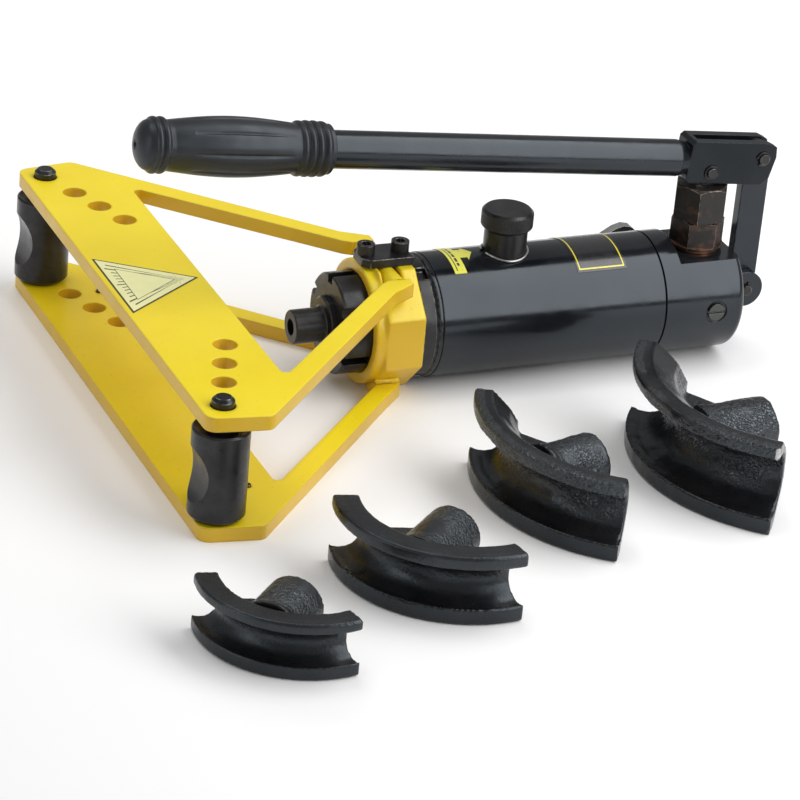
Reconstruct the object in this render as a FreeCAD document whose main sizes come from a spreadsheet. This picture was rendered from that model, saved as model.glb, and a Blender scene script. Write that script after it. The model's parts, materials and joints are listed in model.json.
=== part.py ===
"""Hand-pumped hydraulic tube bender with two wings, two rollers and four loose bending formers.

Frame: +Z up, millimetres. The ram slides along X towards -X, the wings reach out along Y and the
lower wing rests on Z = 0. The two roller pins stand on the line X = 0.
"""
import FreeCAD, Part
import math
import os
import re
import Sketcher

from FreeCAD import Placement, Rotation, Vector

doc = FreeCAD.newDocument("TubeBender")

SIZES = {
    # axis of the ram, the barrel and the reservoir
    "axis_height": 35,
    # wings: two flat frames, cut from plate
    "plate_thickness": 8,
    "upper_wing_bottom": 62,
    "wing_front": -12.5,
    "wing_rear": 42,
    "wing_end_front": 157.5,
    "wing_end_rear": 162,
    "wing_end_back": 20.5,
    "window_end": 121.5,
    "strut_inner_back": 133,
    "strut_inner_side": 28.5,
    "strut_outer_back": 136,
    "strut_outer_side": 40.5,
    "wing_corner_round": 7,
    "wing_end_round": 6,
    "strut_weld_side": 14.6,
    "weld_radius": 4,
    "weld_side": 22.5,
    "notch_round": 3,
    "foot_screw_back": 26.5,
    "foot_screw_side": 119.5,
    "foot_screw_radius": 2,
    "pin_hole_radius": 6.5,
    "pin_side": 145,
    "first_pitch": 24.3,
    "next_pitch": 20.4,
    "row_slope": 0.38,
    # hinge bar of the upper wing
    "bar_back": 144,
    "bar_radius": 5.5,
    "bar_half_length": 31,
    "strut_shoulder": 0.7,
    "strut_gap_side": 25.5,
    "running_gap": 0.05,
    # rollers and their pins
    "pin_radius": 6,
    "pin_top": 75,
    "pin_chamfer": 1.8,
    "roller_radius": 15,
    "roller_bottom": 8.3,
    "roller_top": 58.5,
    "roller_edge": 2.5,
    "saddle_radius": 24,
    "saddle_depth": 5.4,
    "clip_thickness": 1,
    "clip_radius": 9.5,
    "clip_groove_radius": 5,
    # collar, its clamp plate and the two slotted rings
    "collar_front": 130.5,
    "collar_back": 158.5,
    "boss_length": 6,
    "boss_radius": 34.5,
    "collar_flat": 35,
    "neck_radius": 21,
    "counterbore_depth": 5.5,
    "clamp_thickness": 5,
    "clamp_width": 20,
    "clamp_overhang": 0.5,
    "clamp_corner": 4,
    "screw_front": 134.5,
    "screw_back": 154.5,
    "screw_radius": 3,
    "screw_length": 10,
    "screw_head_radius": 5,
    "screw_head_height": 6,
    "screw_socket_flats": 5,
    "screw_socket_depth": 3,
    "nut_front": 116,
    "nut_radius": 28,
    "nut_lip": 6,
    "nut_slot_width": 6,
    "nut_slot_depth": 5,
    "nut_slot_length": 15,
    "lock_ring_length": 7.5,
    "lock_ring_radius": 34,
    "lock_slot_width": 8,
    "lock_slot_depth": 3.5,
    # barrel, ram and spring
    "barrel_front": 122.5,
    "barrel_back": 306,
    "barrel_step": 168,
    "barrel_radius": 22.5,
    "bore_radius": 18,
    "bore_front": 128,
    "bore_back": 302,
    "seal_front": 124,
    "seal_width": 3,
    "ram_front": 94,
    "nose_length": 18,
    "nose_radius": 9.5,
    "nose_bore_radius": 3.6,
    "nose_bore_depth": 12,
    "ram_radius": 15.5,
    "piston_front": 290,
    "piston_back": 300,
    "piston_groove_radius": 16,
    "spring_wire_radius": 1,
    "spring_pitch": 8,
    "spring_turns": 20,
    # reservoir
    "reservoir_front": 170,
    "reservoir_back": 304,
    "reservoir_radius": 34.5,
    "reservoir_wall": 2.5,
    "spigot_length": 6,
    "cap_front": 166.5,
    "filler_back": 217.3,
    "filler_hole_radius": 8,
    "neck_top": 83,
    "neck_outer_radius": 12,
    "knob_radius": 14.5,
    "knob_top": 94,
    "knob_edge": 1.5,
    "filler_washer_radius": 12.9,
    # pump base and its valves
    "base_back": 353.5,
    "base_round": 4,
    "base_flat": 61,
    "base_flat_front": 316,
    "pump_back": 335.5,
    "ear_radius": 10.5,
    "ear_inner_side": 3.6,
    "ear_outer_side": 8.6,
    "link_pin_back": 367,
    "link_pin_height": 34,
    "pivot_radius": 3,
    "plug_radius": 5,
    "plug_recess_radius": 6.5,
    "plug_length": 9,
    "plug_standing": 0.4,
    "plug_slot_width": 1.4,
    "valve_back": 318,
    "valve_height": 40,
    "valve_radius": 4.5,
    "lever_hub": 7,
    "lever_rise": 19,
    "lever_reach": 28,
    "lever_thickness": 3,
    "lever_side": 36,
    "lever_width": 6,
    # pump barrel, its lock nut and the plunger
    "washer_thickness": 2,
    "washer_radius": 13.4,
    "lock_nut_flats": 26.5,
    "lock_nut_top": 79.5,
    "nut_flange_radius": 15.2,
    "nut_flange_height": 1.6,
    "pump_flats": 28,
    "hex_chamfer": 0.3,
    "chamfer_slope": 1.7,
    "pump_top": 99.5,
    "pump_thread_radius": 9,
    "pump_bottom": 48,
    "plunger_radius": 6,
    "plunger_bottom": 52,
    "plunger_flat": 3.2,
    "plunger_flat_length": 13.5,
    "plunger_seal_bottom": 88,
    "plunger_seal_height": 3,
    # handle, in its own frame: along it and up from the plunger pin
    "handle_pin_height": 108.5,
    "handle_tilt": 6.2,
    "handle_rise": 5,
    "fork_half_width": 8.5,
    "fork_slot": 3.5,
    "fork_back": 39.2,
    "fork_front": -15,
    "fork_top": 18,
    "fork_bottom": -6.6,
    "fork_corner": 2,
    "fork_slot_front": -10.7,
    "link_pin_along": 31,
    "link_pin_rise": 9,
    "handle_radius": 10.4,
    "handle_wall": 2.5,
    "handle_neck": -20,
    "neck_length": 6.5,
    "tail_length": 12,
    "grip_back": -229.5,
    "grip_front": -339,
    "grip_sleeve": 13.8,
    "grip_rib": 15.2,
    "grip_swell": 16.3,
    "flute_length": 56,
    "flute_radius": 5,
    "flute_side": 18.8,
    "link_half_width": 8,
    "link_half_thickness": 3.2,
    "link_hole_radius": 3.9,
    # printed labels: two over the reservoir tube and one on the upper wing
    "label_thickness": 0.25,
    "arrow_front": 181.5,
    "arrow_band": 188.5,
    "arrow_neck": 193,
    "arrow_tip": 197.5,
    "arrow_side": 16.5,
    "arrow_stem_side": 4.8,
    "arrow_head_side": 7.5,
    "plate_label_front": 253,
    "plate_label_back": 282.7,
    "plate_label_side": 22.2,
    "scale_label_front": -9.3,
    "scale_label_back": 38.6,
    "scale_label_side": 34.3,
    # what the four loose formers share
    "groove_wall": 5,
    "groove_flare": 1.3,
    "lip_share": 0.45,
    "hub_radius": 15.2,
    "socket_radius": 9.6,
    "socket_depth": 20,
    "web_half": 3.5,
    "wall_taper": 2,
    "hub_root": 3,
    "root_flare": 1.5,
}
# flutes round the grip and the angle of the first one
FLUTES = 8
FIRST_FLUTE = 41
# loose formers: pipe radius, flange radius, rim and width over the flanges, hub end, arc, place
FORMERS = {
    "three_eighth": {"pipe": 8.6, "flange": 53, "rim": 11.5, "width": 30.5, "hub_end": -6, "arc": 114,
                     "along": 6.4, "side": -246.8, "turn": 44.5},
    "half": {"pipe": 10.65, "flange": 64.5, "rim": 13, "width": 37.5, "hub_end": -5, "arc": 114,
             "along": 106, "side": -206.4, "turn": 41},
    "three_quarter": {"pipe": 13.45, "flange": 93, "rim": 9.5, "width": 44, "hub_end": -37, "arc": 84,
                      "along": 238, "side": -151, "turn": 14},
    "one": {"pipe": 16.85, "flange": 96, "rim": 10, "width": 50.5, "hub_end": -28, "arc": 92,
            "along": 335.6, "side": -145.5, "turn": 6},
}
for former, sizes in FORMERS.items():
    for word, number in sizes.items():
        SIZES[f"{former}_{word}"] = number

sheet = doc.addObject("Spreadsheet::Sheet", "Sizes")
for row, (word, number) in enumerate(SIZES.items(), start=1):
    sheet.set(f"A{row}", word)
    sheet.set(f"B{row}", str(number))
    sheet.setAlias(f"B{row}", word)
doc.recompute()

WORD = re.compile(r"[a-z][a-z_]+\b(?!\()")
ALONG_X = Rotation(Vector(0, 1, 0), 90)
ALONG_Y = Rotation(Vector(1, 0, 0), -90)
AXIS = ("0", "0", "axis_height")
SIDES = {"near": -1, "far": 1}
nodes = []


def bound(text):
    """An expression in sheet words, with each word but a function's name turned into its cell."""
    return WORD.sub(lambda word: "Sizes." + word.group(), str(text))


def value(text):
    """The number that an expression in sheet words has now."""
    return float(sheet.evalExpression(bound(text)))


def set_place(piece, place, turn=None):
    piece.Placement = Placement(Vector(), turn or Rotation())
    for letter, text in zip("xyz", place):
        piece.setExpression(f"Placement.Base.{letter}", bound(text))
    return piece


def solid(kind, name, place, turn=None, **sizes):
    """A Part primitive whose sizes and place are expressions."""
    piece = doc.addObject("Part::" + kind, name)
    for size, text in sizes.items():
        piece.setExpression(size, bound(text))
    return set_place(piece, place, turn)


def rod(name, radius, length, place, turn=None):
    return solid("Cylinder", name, place, turn, Radius=radius, Height=length)


def block(name, lengths, place, turn=None):
    return solid("Box", name, place, turn, Length=lengths[0], Width=lengths[1], Height=lengths[2])


def fuse(name, *pieces):
    joined = doc.addObject("Part::MultiFuse", name)
    joined.Shapes = list(pieces)
    joined.Refine = True
    return joined


def cut(name, base, *tools):
    result = doc.addObject("Part::Cut", name)
    result.Base = base
    result.Tool = tools[0] if len(tools) == 1 else fuse(name + "_tools", *tools)
    return result


def common(name, base, tool):
    result = doc.addObject("Part::Common", name)
    result.Base = base
    result.Tool = tool
    return result


def group(name, *pieces):
    compound = doc.addObject("Part::Compound", name)
    compound.Links = list(pieces)
    return compound


def node(piece, label):
    """Marks an object as a sub-part of its own and gives it its file name."""
    piece.Label = label
    nodes.append(piece)
    return piece


def new_sketch(body, plane):
    origin_plane = next(item for item in body.Origin.OriginFeatures if item.Role == plane)
    sketch = body.newObject("Sketcher::SketchObject", body.Name + "_sketch")
    sketch.AttachmentSupport = (origin_plane, [""])
    sketch.MapMode = "FlatFace"
    return sketch


def drive_point(sketch, line, end, corner):
    """Ties a sketch point to its two expressions."""
    for kind, text in zip(("DistanceX", "DistanceY"), corner):
        number = sketch.addConstraint(Sketcher.Constraint(kind, -1, 1, line, end, value(text)))
        sketch.setExpression(f"Constraints[{number}]", bound(text))


def draw_outline(sketch, corners):
    """A closed outline of straight lines through the corners."""
    points = [Vector(value(x), value(y), 0) for x, y in corners]
    first = sketch.GeometryCount
    for start, end in zip(points, points[1:] + points[:1]):
        sketch.addGeometry(Part.LineSegment(start, end), False)
    for index, corner in enumerate(corners):
        following = first + (index + 1) % len(corners)
        sketch.addConstraint(Sketcher.Constraint("Coincident", first + index, 2, following, 1))
        drive_point(sketch, first + index, 1, corner)


def draw_circle(sketch, centre, radius):
    middle = Vector(value(centre[0]), value(centre[1]), 0)
    circle = sketch.addGeometry(Part.Circle(middle, Vector(0, 0, 1), value(radius)), False)
    drive_point(sketch, circle, 3, centre)
    number = sketch.addConstraint(Sketcher.Constraint("Radius", circle, value(radius)))
    sketch.setExpression(f"Constraints[{number}]", bound(radius))


def new_body(name):
    return doc.addObject("PartDesign::Body", name)


def pad(body, sketch, length, both_ways=False):
    feature = body.newObject("PartDesign::Pad", body.Name + "_pad")
    feature.Profile = sketch
    feature.setExpression("Length", bound(length))
    feature.Midplane = both_ways
    sketch.Visibility = False
    return feature


def turned(name, corners, place=AXIS, turn=None, upright=False):
    """A turned solid: corners are (along, radius), about X, or about Z if upright."""
    body = new_body(name)
    sketch = new_sketch(body, "XZ_Plane")
    draw_outline(sketch, [(r, a) for a, r in corners] if upright else corners)
    feature = body.newObject("PartDesign::Revolution", name + "_turned")
    feature.Profile = sketch
    feature.ReferenceAxis = (sketch, ["V_Axis" if upright else "H_Axis"])
    feature.Angle = 360
    return set_place(body, place, turn)


def round_edges(body, wanted, radius, name):
    """A PartDesign fillet on the edges of the body's tip that the test picks."""
    doc.recompute()
    tip = body.Tip
    names = [f"Edge{i}" for i, edge in enumerate(tip.Shape.Edges, start=1) if wanted(edge)]
    feature = body.newObject("PartDesign::Fillet", name)
    feature.Base = (tip, names)
    feature.setExpression("Radius", bound(radius))
    doc.recompute()
    return feature


def ring(name, front, back, inner, outer, place=AXIS, turn=None, upright=False):
    corners = [(front, inner), (back, inner), (back, outer), (front, outer)]
    return turned(name, corners, place, turn, upright)


def prism(name, sides, flats, height, place, turn):
    """A regular prism given by its width across flats."""
    piece = doc.addObject("Part::Prism", name)
    piece.Polygon = sides
    piece.setExpression("Circumradius", bound(f"({flats}) / 2 / cos({180 / sides})"))
    piece.setExpression("Height", bound(height))
    return set_place(piece, place, turn)


def chamfered_hex(name, flats, bottom, top, turn_angle):
    """Upright hexagon on the pump's axis with its upper corners turned off."""
    place = ("pump_back", "0", bottom)
    height = f"({top} - ({bottom}))"
    blank = prism(name + "_prism", 6, flats, height, place, Rotation(Vector(0, 0, 1), turn_angle))
    edge = f"{flats} / 2 - hex_chamfer"
    cone = solid("Cone", name + "_cone", place, None,
                 Radius1=f"{edge} + {height} * chamfer_slope", Radius2=edge, Height=height)
    return common(name, blank, cone)


# ---- wings -------------------------------------------------------------------------------------

def mirrored(half):
    """A whole outline from its far-side half, which runs from the front to the back."""
    return half + [(x, f"-({y})") for x, y in reversed(half)]


def hole_places():
    """Centres of the four holes of one row, counted from the outer one."""
    places = [("0", "pin_side")]
    for count in range(3):
        step = f"(first_pitch + {count} * next_pitch)"
        places.append((f"row_slope * {step}", f"pin_side - {step}"))
    return places


def is_upright(edge):
    start = edge.Vertexes[0].Point
    end = edge.Vertexes[-1].Point
    return abs(start.x - end.x) < 1e-6 and abs(start.y - end.y) < 1e-6 and abs(start.z - end.z) > 1


def wing_plate(name, strut_end, bottom):
    """A wing plate with its two struts; strut_end finishes the outline of the far strut."""
    outline = [
        ("wing_front", "wing_end_front"),
        ("wing_end_back", "wing_end_rear"),
        ("strut_outer_back", "strut_outer_side"),
    ] + strut_end + [("wing_rear", "window_end")]
    body = new_body(name)
    sketch = new_sketch(body, "XY_Plane")
    draw_outline(sketch, mirrored(outline))
    for along, side in hole_places():
        draw_circle(sketch, (along, side), "pin_hole_radius")
        draw_circle(sketch, (along, f"-({side})"), "pin_hole_radius")
    pad(body, sketch, "plate_thickness")

    def on_line(edge, line):
        return is_upright(edge) and abs(edge.CenterOfMass.x - value(line)) < 0.1

    round_edges(body, lambda edge: on_line(edge, "wing_front"), "wing_corner_round", name + "_fronts")
    round_edges(body, lambda edge: on_line(edge, "wing_end_back"), "wing_end_round", name + "_ends")
    round_edges(body, lambda edge: on_line(edge, "wing_rear"), "notch_round", name + "_notches")
    return set_place(body, ("0", "0", bottom))


BAR_HEIGHT = "upper_wing_bottom + plate_thickness - bar_radius - running_gap"


def make_upper_wing():
    plate = wing_plate("upper_wing_plate", [
        ("bar_back + bar_radius + strut_shoulder", "strut_outer_side - 8.5"),
        ("bar_back + bar_radius + strut_shoulder", "strut_gap_side"),
        ("bar_back - bar_radius - strut_shoulder", "strut_gap_side"),
        ("strut_inner_back", "strut_inner_side"),
    ], "upper_wing_bottom")
    bar = rod("hinge_bar", "bar_radius", "2 * bar_half_length",
              ("bar_back", "-bar_half_length", BAR_HEIGHT), ALONG_Y)
    node(fuse("upper_wing_whole", plate, bar), "upper_wing")


def make_collar():
    """Octagonal collar with a round boss in front, a bore, a counterbore and the bar's groove."""
    flats_up = ALONG_X.multiply(Rotation(Vector(0, 0, 1), 22.5))
    octagon = prism("collar_octagon", 8, "2 * collar_flat", "collar_back - collar_front - boss_length",
                    ("collar_front + boss_length", *AXIS[1:]), flats_up)
    boss = rod("collar_boss", "boss_radius", "boss_length", ("collar_front", *AXIS[1:]), ALONG_X)
    body = fuse("collar_body", octagon, boss)
    bore = rod("collar_bore", "neck_radius + running_gap", "2 * collar_back", ("0", *AXIS[1:]), ALONG_X)
    counterbore = rod("collar_counterbore", "nut_radius + running_gap", "counterbore_depth",
                      ("collar_front", *AXIS[1:]), ALONG_X)
    groove = rod("bar_groove", "bar_radius + running_gap", "2 * collar_flat",
                 ("bar_back", "-collar_flat", BAR_HEIGHT), ALONG_Y)
    slot = block("bar_slot", ("2 * (bar_radius + running_gap)", "2 * collar_flat", "bar_radius + 1"),
                 ("bar_back - bar_radius - running_gap", "-collar_flat", BAR_HEIGHT))
    holes = [rod(f"tapped_hole_{name}", "screw_radius", "screw_length - clamp_thickness",
                 (name, "0", "axis_height + collar_flat - screw_length + clamp_thickness"))
             for name in ("screw_front", "screw_back")]
    return node(cut("collar_cut", body, bore, counterbore, groove, slot, *holes), "collar")


def make_lower_wing(collar):
    plate = wing_plate("lower_wing_plate", [
        ("bar_back + bar_radius", "strut_outer_side - 13.5"),
        ("bar_back + bar_radius", "strut_weld_side"),
        ("bar_back - bar_radius - 3", "strut_weld_side"),
        ("bar_back - bar_radius - 3", "strut_inner_side - 2.5"),
    ], "0")
    holes = [rod(f"foot_hole_{side}", "foot_screw_radius", "2 * plate_thickness",
                 ("foot_screw_back", f"{sign} * foot_screw_side", "-1"))
             for side, sign in SIDES.items()]
    lower_wing = node(cut("lower_wing_cut", plate, collar, *holes), "lower_wing")
    beads = [rod(f"bead_{side}", "weld_radius", "2 * bar_radius + 3",
                 ("bar_back - bar_radius - 3", f"{sign} * weld_side", "plate_thickness"), ALONG_X)
             for side, sign in SIDES.items()]
    node(cut("beads_cut", group("beads", *beads), collar, lower_wing), "strut_welds")


def make_foot_screws():
    """Two grub screws through the lower wing, which stand a little above it."""
    screws = [rod(f"foot_screw_{side}", "foot_screw_radius", "plate_thickness + 1",
                  ("foot_screw_back", f"{sign} * foot_screw_side", "0.2"))
              for side, sign in SIDES.items()]
    node(group("foot_screw_pair", *screws), "foot_screws")


# ---- clamp plate, screws and slotted rings -----------------------------------------------------

def make_clamp():
    body = new_body("clamp_plate_body")
    sketch = new_sketch(body, "XY_Plane")
    front = "collar_front - clamp_overhang"
    draw_outline(sketch, [
        (front, "-clamp_width / 2 + clamp_corner"),
        (front + " + clamp_corner", "-clamp_width / 2"),
        ("collar_back + clamp_overhang", "-clamp_width / 2"),
        ("collar_back + clamp_overhang", "clamp_width / 2"),
        (front + " + clamp_corner", "clamp_width / 2"),
        (front, "clamp_width / 2 - clamp_corner"),
    ])
    for along in ("screw_front", "screw_back"):
        draw_circle(sketch, (along, "0"), "screw_radius + 0.2")
    pad(body, sketch, "clamp_thickness")
    set_place(body, ("0", "0", "axis_height + collar_flat"))
    node(body, "clamp_plate")


def cap_screw(name, along):
    """Socket head cap screw, head up, drawn from under the head."""
    under_head = "axis_height + collar_flat + clamp_thickness"
    shank = rod(name + "_shank", "screw_radius", "screw_length",
                (along, "0", under_head + " - screw_length"))
    head = rod(name + "_head", "screw_head_radius", "screw_head_height", (along, "0", under_head))
    socket = prism(name + "_socket", 6, "screw_socket_flats", "screw_socket_depth + 1",
                   (along, "0", under_head + " + screw_head_height - screw_socket_depth"), None)
    return cut(name, fuse(name + "_solid", shank, head), socket)


def make_clamp_screws():
    screws = [cap_screw("cap_" + along, along) for along in ("screw_front", "screw_back")]
    node(group("screws", *screws), "clamp_screws")


def rim_slots(name, count, first, width, depth, front, length, rim):
    """Boxes round the ram axis that cut spanner slots in a ring's rim."""
    slots = []
    for index in range(count):
        angle = first + index * 360 / count
        slot = doc.addObject("Part::Box", f"{name}_slot_{index}")
        slot.setExpression("Length", bound(length))
        slot.setExpression("Width", bound(width))
        slot.setExpression("Height", bound(f"{depth} + 5"))
        turn = Rotation(Vector(1, 0, 0), angle - 90)
        low = value(rim) - value(depth)
        offset = turn.multVec(Vector(0, -value(width) / 2, low))
        place = (front, f"{offset.y:.4f}", f"axis_height + {offset.z:.4f}")
        slots.append(set_place(slot, place, turn))
    return slots


def make_front_nut():
    bore = "neck_radius + running_gap"
    lip = "ram_radius + 0.15"
    end = "collar_front + counterbore_depth"
    blank = turned("front_nut_blank", [
        ("nut_front", lip),
        ("nut_front + nut_lip", lip),
        ("nut_front + nut_lip", bore),
        (end, bore),
        (end, "nut_radius"),
        ("nut_front + 1", "nut_radius"),
        ("nut_front", "nut_radius - 1"),
    ])
    slots = rim_slots("nut", 6, 25, "nut_slot_width", "nut_slot_depth",
                      "nut_front", "nut_slot_length", "nut_radius")
    node(cut("front_nut_cut", blank, *slots), "front_nut")


def make_lock_ring():
    blank = ring("lock_ring_blank", "collar_back", "collar_back + lock_ring_length",
                 "neck_radius + running_gap", "lock_ring_radius")
    slots = rim_slots("lock", 3, 113, "lock_slot_width", "lock_slot_depth", "collar_back",
                      "lock_ring_length", "lock_ring_radius")
    node(cut("lock_ring_cut", blank, *slots), "lock_ring")


# ---- barrel, ram and reservoir -----------------------------------------------------------------

def make_barrel():
    node(turned("barrel_body", [
        ("barrel_front", "ram_radius + 0.1"),
        ("seal_front", "ram_radius + 0.1"),
        ("seal_front", "bore_radius"),
        ("seal_front + seal_width", "bore_radius"),
        ("seal_front + seal_width", "ram_radius + 0.1"),
        ("bore_front + 1.5", "ram_radius + 0.1"),
        ("bore_front + 1.5", "bore_radius"),
        ("bore_back", "bore_radius"),
        ("bore_back", "5"),
        ("barrel_back", "5"),
        ("barrel_back", "barrel_radius"),
        ("barrel_step", "barrel_radius"),
        ("barrel_step", "neck_radius"),
        ("barrel_front", "neck_radius"),
    ]), "barrel")
    node(ring("rod_seal_body", "seal_front", "seal_front + seal_width",
              "ram_radius + 0.02", "bore_radius"), "rod_seal")


def make_ram():
    nose_back = "ram_front + nose_length"
    piston = "bore_radius - running_gap"
    node(turned("ram_body", [
        ("ram_front + 0.8", "nose_bore_radius + 4.5"),
        ("ram_front", "nose_bore_radius + 4.9"),
        ("ram_front", "nose_radius - 0.6"),
        ("ram_front + 0.6", "nose_radius"),
        (nose_back + " - 1.5", "nose_radius"),
        (nose_back, "nose_radius + 1.5"),
        (nose_back, "ram_radius - 1.2"),
        (nose_back + " + 1.2", "ram_radius"),
        ("piston_front", "ram_radius"),
        ("piston_front", piston),
        ("piston_front + seal_width", piston),
        ("piston_front + seal_width", "piston_groove_radius"),
        ("piston_front + 2 * seal_width", "piston_groove_radius"),
        ("piston_front + 2 * seal_width", piston),
        ("piston_back", piston),
        ("piston_back", "0"),
        ("ram_front + nose_bore_depth", "0"),
        ("ram_front + nose_bore_depth - 2", "nose_bore_radius"),
        ("ram_front + 4", "nose_bore_radius"),
    ]), "ram")
    node(ring("piston_seal_body", "piston_front + seal_width", "piston_front + 2 * seal_width",
              "piston_groove_radius", "bore_radius - 0.02"), "piston_seal")


def make_return_spring():
    """Open coil round the ram; its wire stays clear of the ram and of the bore."""
    wire = value("spring_wire_radius")
    mean = (value("ram_radius") + value("bore_radius")) / 2
    pitch = value("spring_pitch")
    turns = value("spring_turns")
    helix = Part.makeHelix(pitch, pitch * turns - 2, mean)
    section = Part.Wire(Part.makeCircle(wire, Vector(mean, 0, 0), Vector(0, 1, 0)))
    coil = Part.Wire(helix.Edges).makePipeShell([section], True, True)
    spring = doc.addObject("Part::Feature", "return_spring_coil")
    spring.Shape = coil
    start = value("bore_front") + 3
    spring.Placement = Placement(Vector(start, 0, value("axis_height")), ALONG_X)
    node(spring, "return_spring")


def make_reservoir():
    tube_inner = "reservoir_radius - reservoir_wall"
    tube = ring("reservoir_shell", "reservoir_front", "reservoir_back", tube_inner, "reservoir_radius")
    hole = rod("filler_hole", "filler_hole_radius", "axis_height", ("filler_back", *AXIS[1:]))
    node(cut("reservoir_cut", tube, hole), "reservoir_tube")
    spigot = tube_inner + " - running_gap"
    bore = "barrel_radius + running_gap"
    node(turned("front_cap_body", [
        ("collar_back + lock_ring_length", "neck_radius + running_gap"),
        ("barrel_step", "neck_radius + running_gap"),
        ("barrel_step", bore),
        ("reservoir_front + spigot_length", bore),
        ("reservoir_front + spigot_length", spigot),
        ("reservoir_front", spigot),
        ("reservoir_front", "reservoir_radius - 0.3"),
        ("cap_front + 1", "reservoir_radius - 0.3"),
        ("cap_front + 0.6", "reservoir_radius - 1.5"),
        ("collar_back + lock_ring_length", "reservoir_radius - 1.5"),
    ]), "reservoir_front_cap")


def make_filler():
    top = "axis_height + reservoir_radius"
    centre = ("filler_back", "0", "0")
    neck = turned("neck_blank", [
        ("axis_height + 28", "filler_hole_radius - running_gap"),
        (top + " - 2.5", "filler_hole_radius - running_gap"),
        (top + " - 2.5", "neck_outer_radius"),
        ("neck_top - 0.6", "neck_outer_radius"),
        ("neck_top", "neck_outer_radius - 0.6"),
        ("neck_top", "5.05"),
        ("axis_height + 28", "5.05"),
    ], centre, upright=True)
    shell = rod("neck_saddle", "reservoir_radius", "100", ("filler_back - 50", *AXIS[1:]), ALONG_X)
    plug = rod("neck_plug", "filler_hole_radius - running_gap", "20",
               ("filler_back", "0", "axis_height + 25"))
    saddle = cut("neck_saddle_cut", shell, plug)
    node(cut("filler_neck_cut", neck, saddle), "filler_neck")
    washer = ring("filler_washer_blank", top + " - 6", top + " + 1.2", "neck_outer_radius + running_gap",
                  "filler_washer_radius", centre, upright=True)
    shell = rod("washer_saddle", "reservoir_radius", "100", ("filler_back - 50", *AXIS[1:]), ALONG_X)
    node(cut("filler_washer_cut", washer, shell), "filler_washer")


def make_filler_cap():
    """Knurled cap with a plain shank in the neck."""
    blank = turned("cap_blank", [
        ("neck_top + 0.2", "0"),
        ("neck_top + 0.2", "knob_radius - 0.8"),
        ("neck_top + 1", "knob_radius"),
        ("knob_top - knob_edge", "knob_radius"),
        ("knob_top", "knob_radius - knob_edge"),
        ("knob_top", "0"),
    ], ("filler_back", "0", "0"), upright=True)
    shank = rod("cap_shank", "5", "12", ("filler_back", "0", "neck_top + 0.2 - 12"))
    node(fuse("filler_cap_whole", blank, shank), "filler_cap")


# ---- pump base, valves and pump ----------------------------------------------------------------

def make_pump_base():
    body = new_body("pump_base_body")
    sketch = new_sketch(body, "YZ_Plane")
    draw_circle(sketch, ("0", "0"), "reservoir_radius")
    pad(body, sketch, "base_back - reservoir_back")
    back = value("base_back - reservoir_back")
    round_edges(body, lambda edge: abs(edge.CenterOfMass.x - back) < 0.1, "base_round", "base_end")
    set_place(body, ("reservoir_back", "0", "axis_height"))
    spigot = rod("base_spigot", "reservoir_radius - reservoir_wall - running_gap", "spigot_length + 1",
                 ("reservoir_back - spigot_length", *AXIS[1:]), ALONG_X)
    ear_reach = "link_pin_back - base_back + 6"
    ears = []
    for side, sign in SIDES.items():
        low = "ear_inner_side" if sign > 0 else "-ear_outer_side"
        arm = block(f"ear_arm_{side}", (ear_reach, "ear_outer_side - ear_inner_side", "2 * ear_radius"),
                    ("base_back - 6", low, "link_pin_height - ear_radius"))
        eye = rod(f"ear_eye_{side}", "ear_radius", "ear_outer_side - ear_inner_side",
                  ("link_pin_back", low, "link_pin_height"), ALONG_Y)
        ears += [arm, eye]
    whole = fuse("base_solid", body, spigot, *ears)
    flat = block("base_flat_cut", ("100", "100", "50"), ("base_flat_front", "-50", "base_flat"))
    socket = rod("barrel_socket", "barrel_radius + running_gap", "20",
                 ("barrel_back - 20", *AXIS[1:]), ALONG_X)
    thread = rod("pump_thread_hole", "pump_thread_radius", "30", ("pump_back", "0", "pump_bottom"))
    well = rod("pump_well", "plunger_radius + 0.5", "12", ("pump_back", "0", "pump_bottom - 8"))
    pin_hole = rod("base_pin_hole", "pivot_radius", "40",
                   ("link_pin_back", "-20", "link_pin_height"), ALONG_Y)
    plug_hole = rod("plug_hole", "plug_radius", "plug_length + 1",
                    ("pump_back", "-reservoir_radius - 1", "axis_height"), ALONG_Y)
    recess = rod("plug_recess", "plug_recess_radius", "3",
                 ("pump_back", "-reservoir_radius - 2", "axis_height"), ALONG_Y)
    valve_hole = rod("valve_hole", "valve_radius + running_gap", "30",
                     ("valve_back", "12", "valve_height"), ALONG_Y)
    node(cut("pump_base_cut", whole, flat, socket, thread, well, pin_hole, plug_hole, recess, valve_hole),
         "pump_base")


def make_relief_plug():
    face = "-reservoir_radius - plug_standing"
    body = rod("plug_body", "plug_radius", "plug_length", ("pump_back", face, "axis_height"), ALONG_Y)
    slot = block("plug_slot", ("2 * plug_radius", "plug_slot_width", "plug_slot_width"),
                 ("pump_back - plug_radius", face, "axis_height - plug_slot_width / 2"))
    node(cut("relief_plug_cut", body, slot), "relief_plug")


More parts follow.
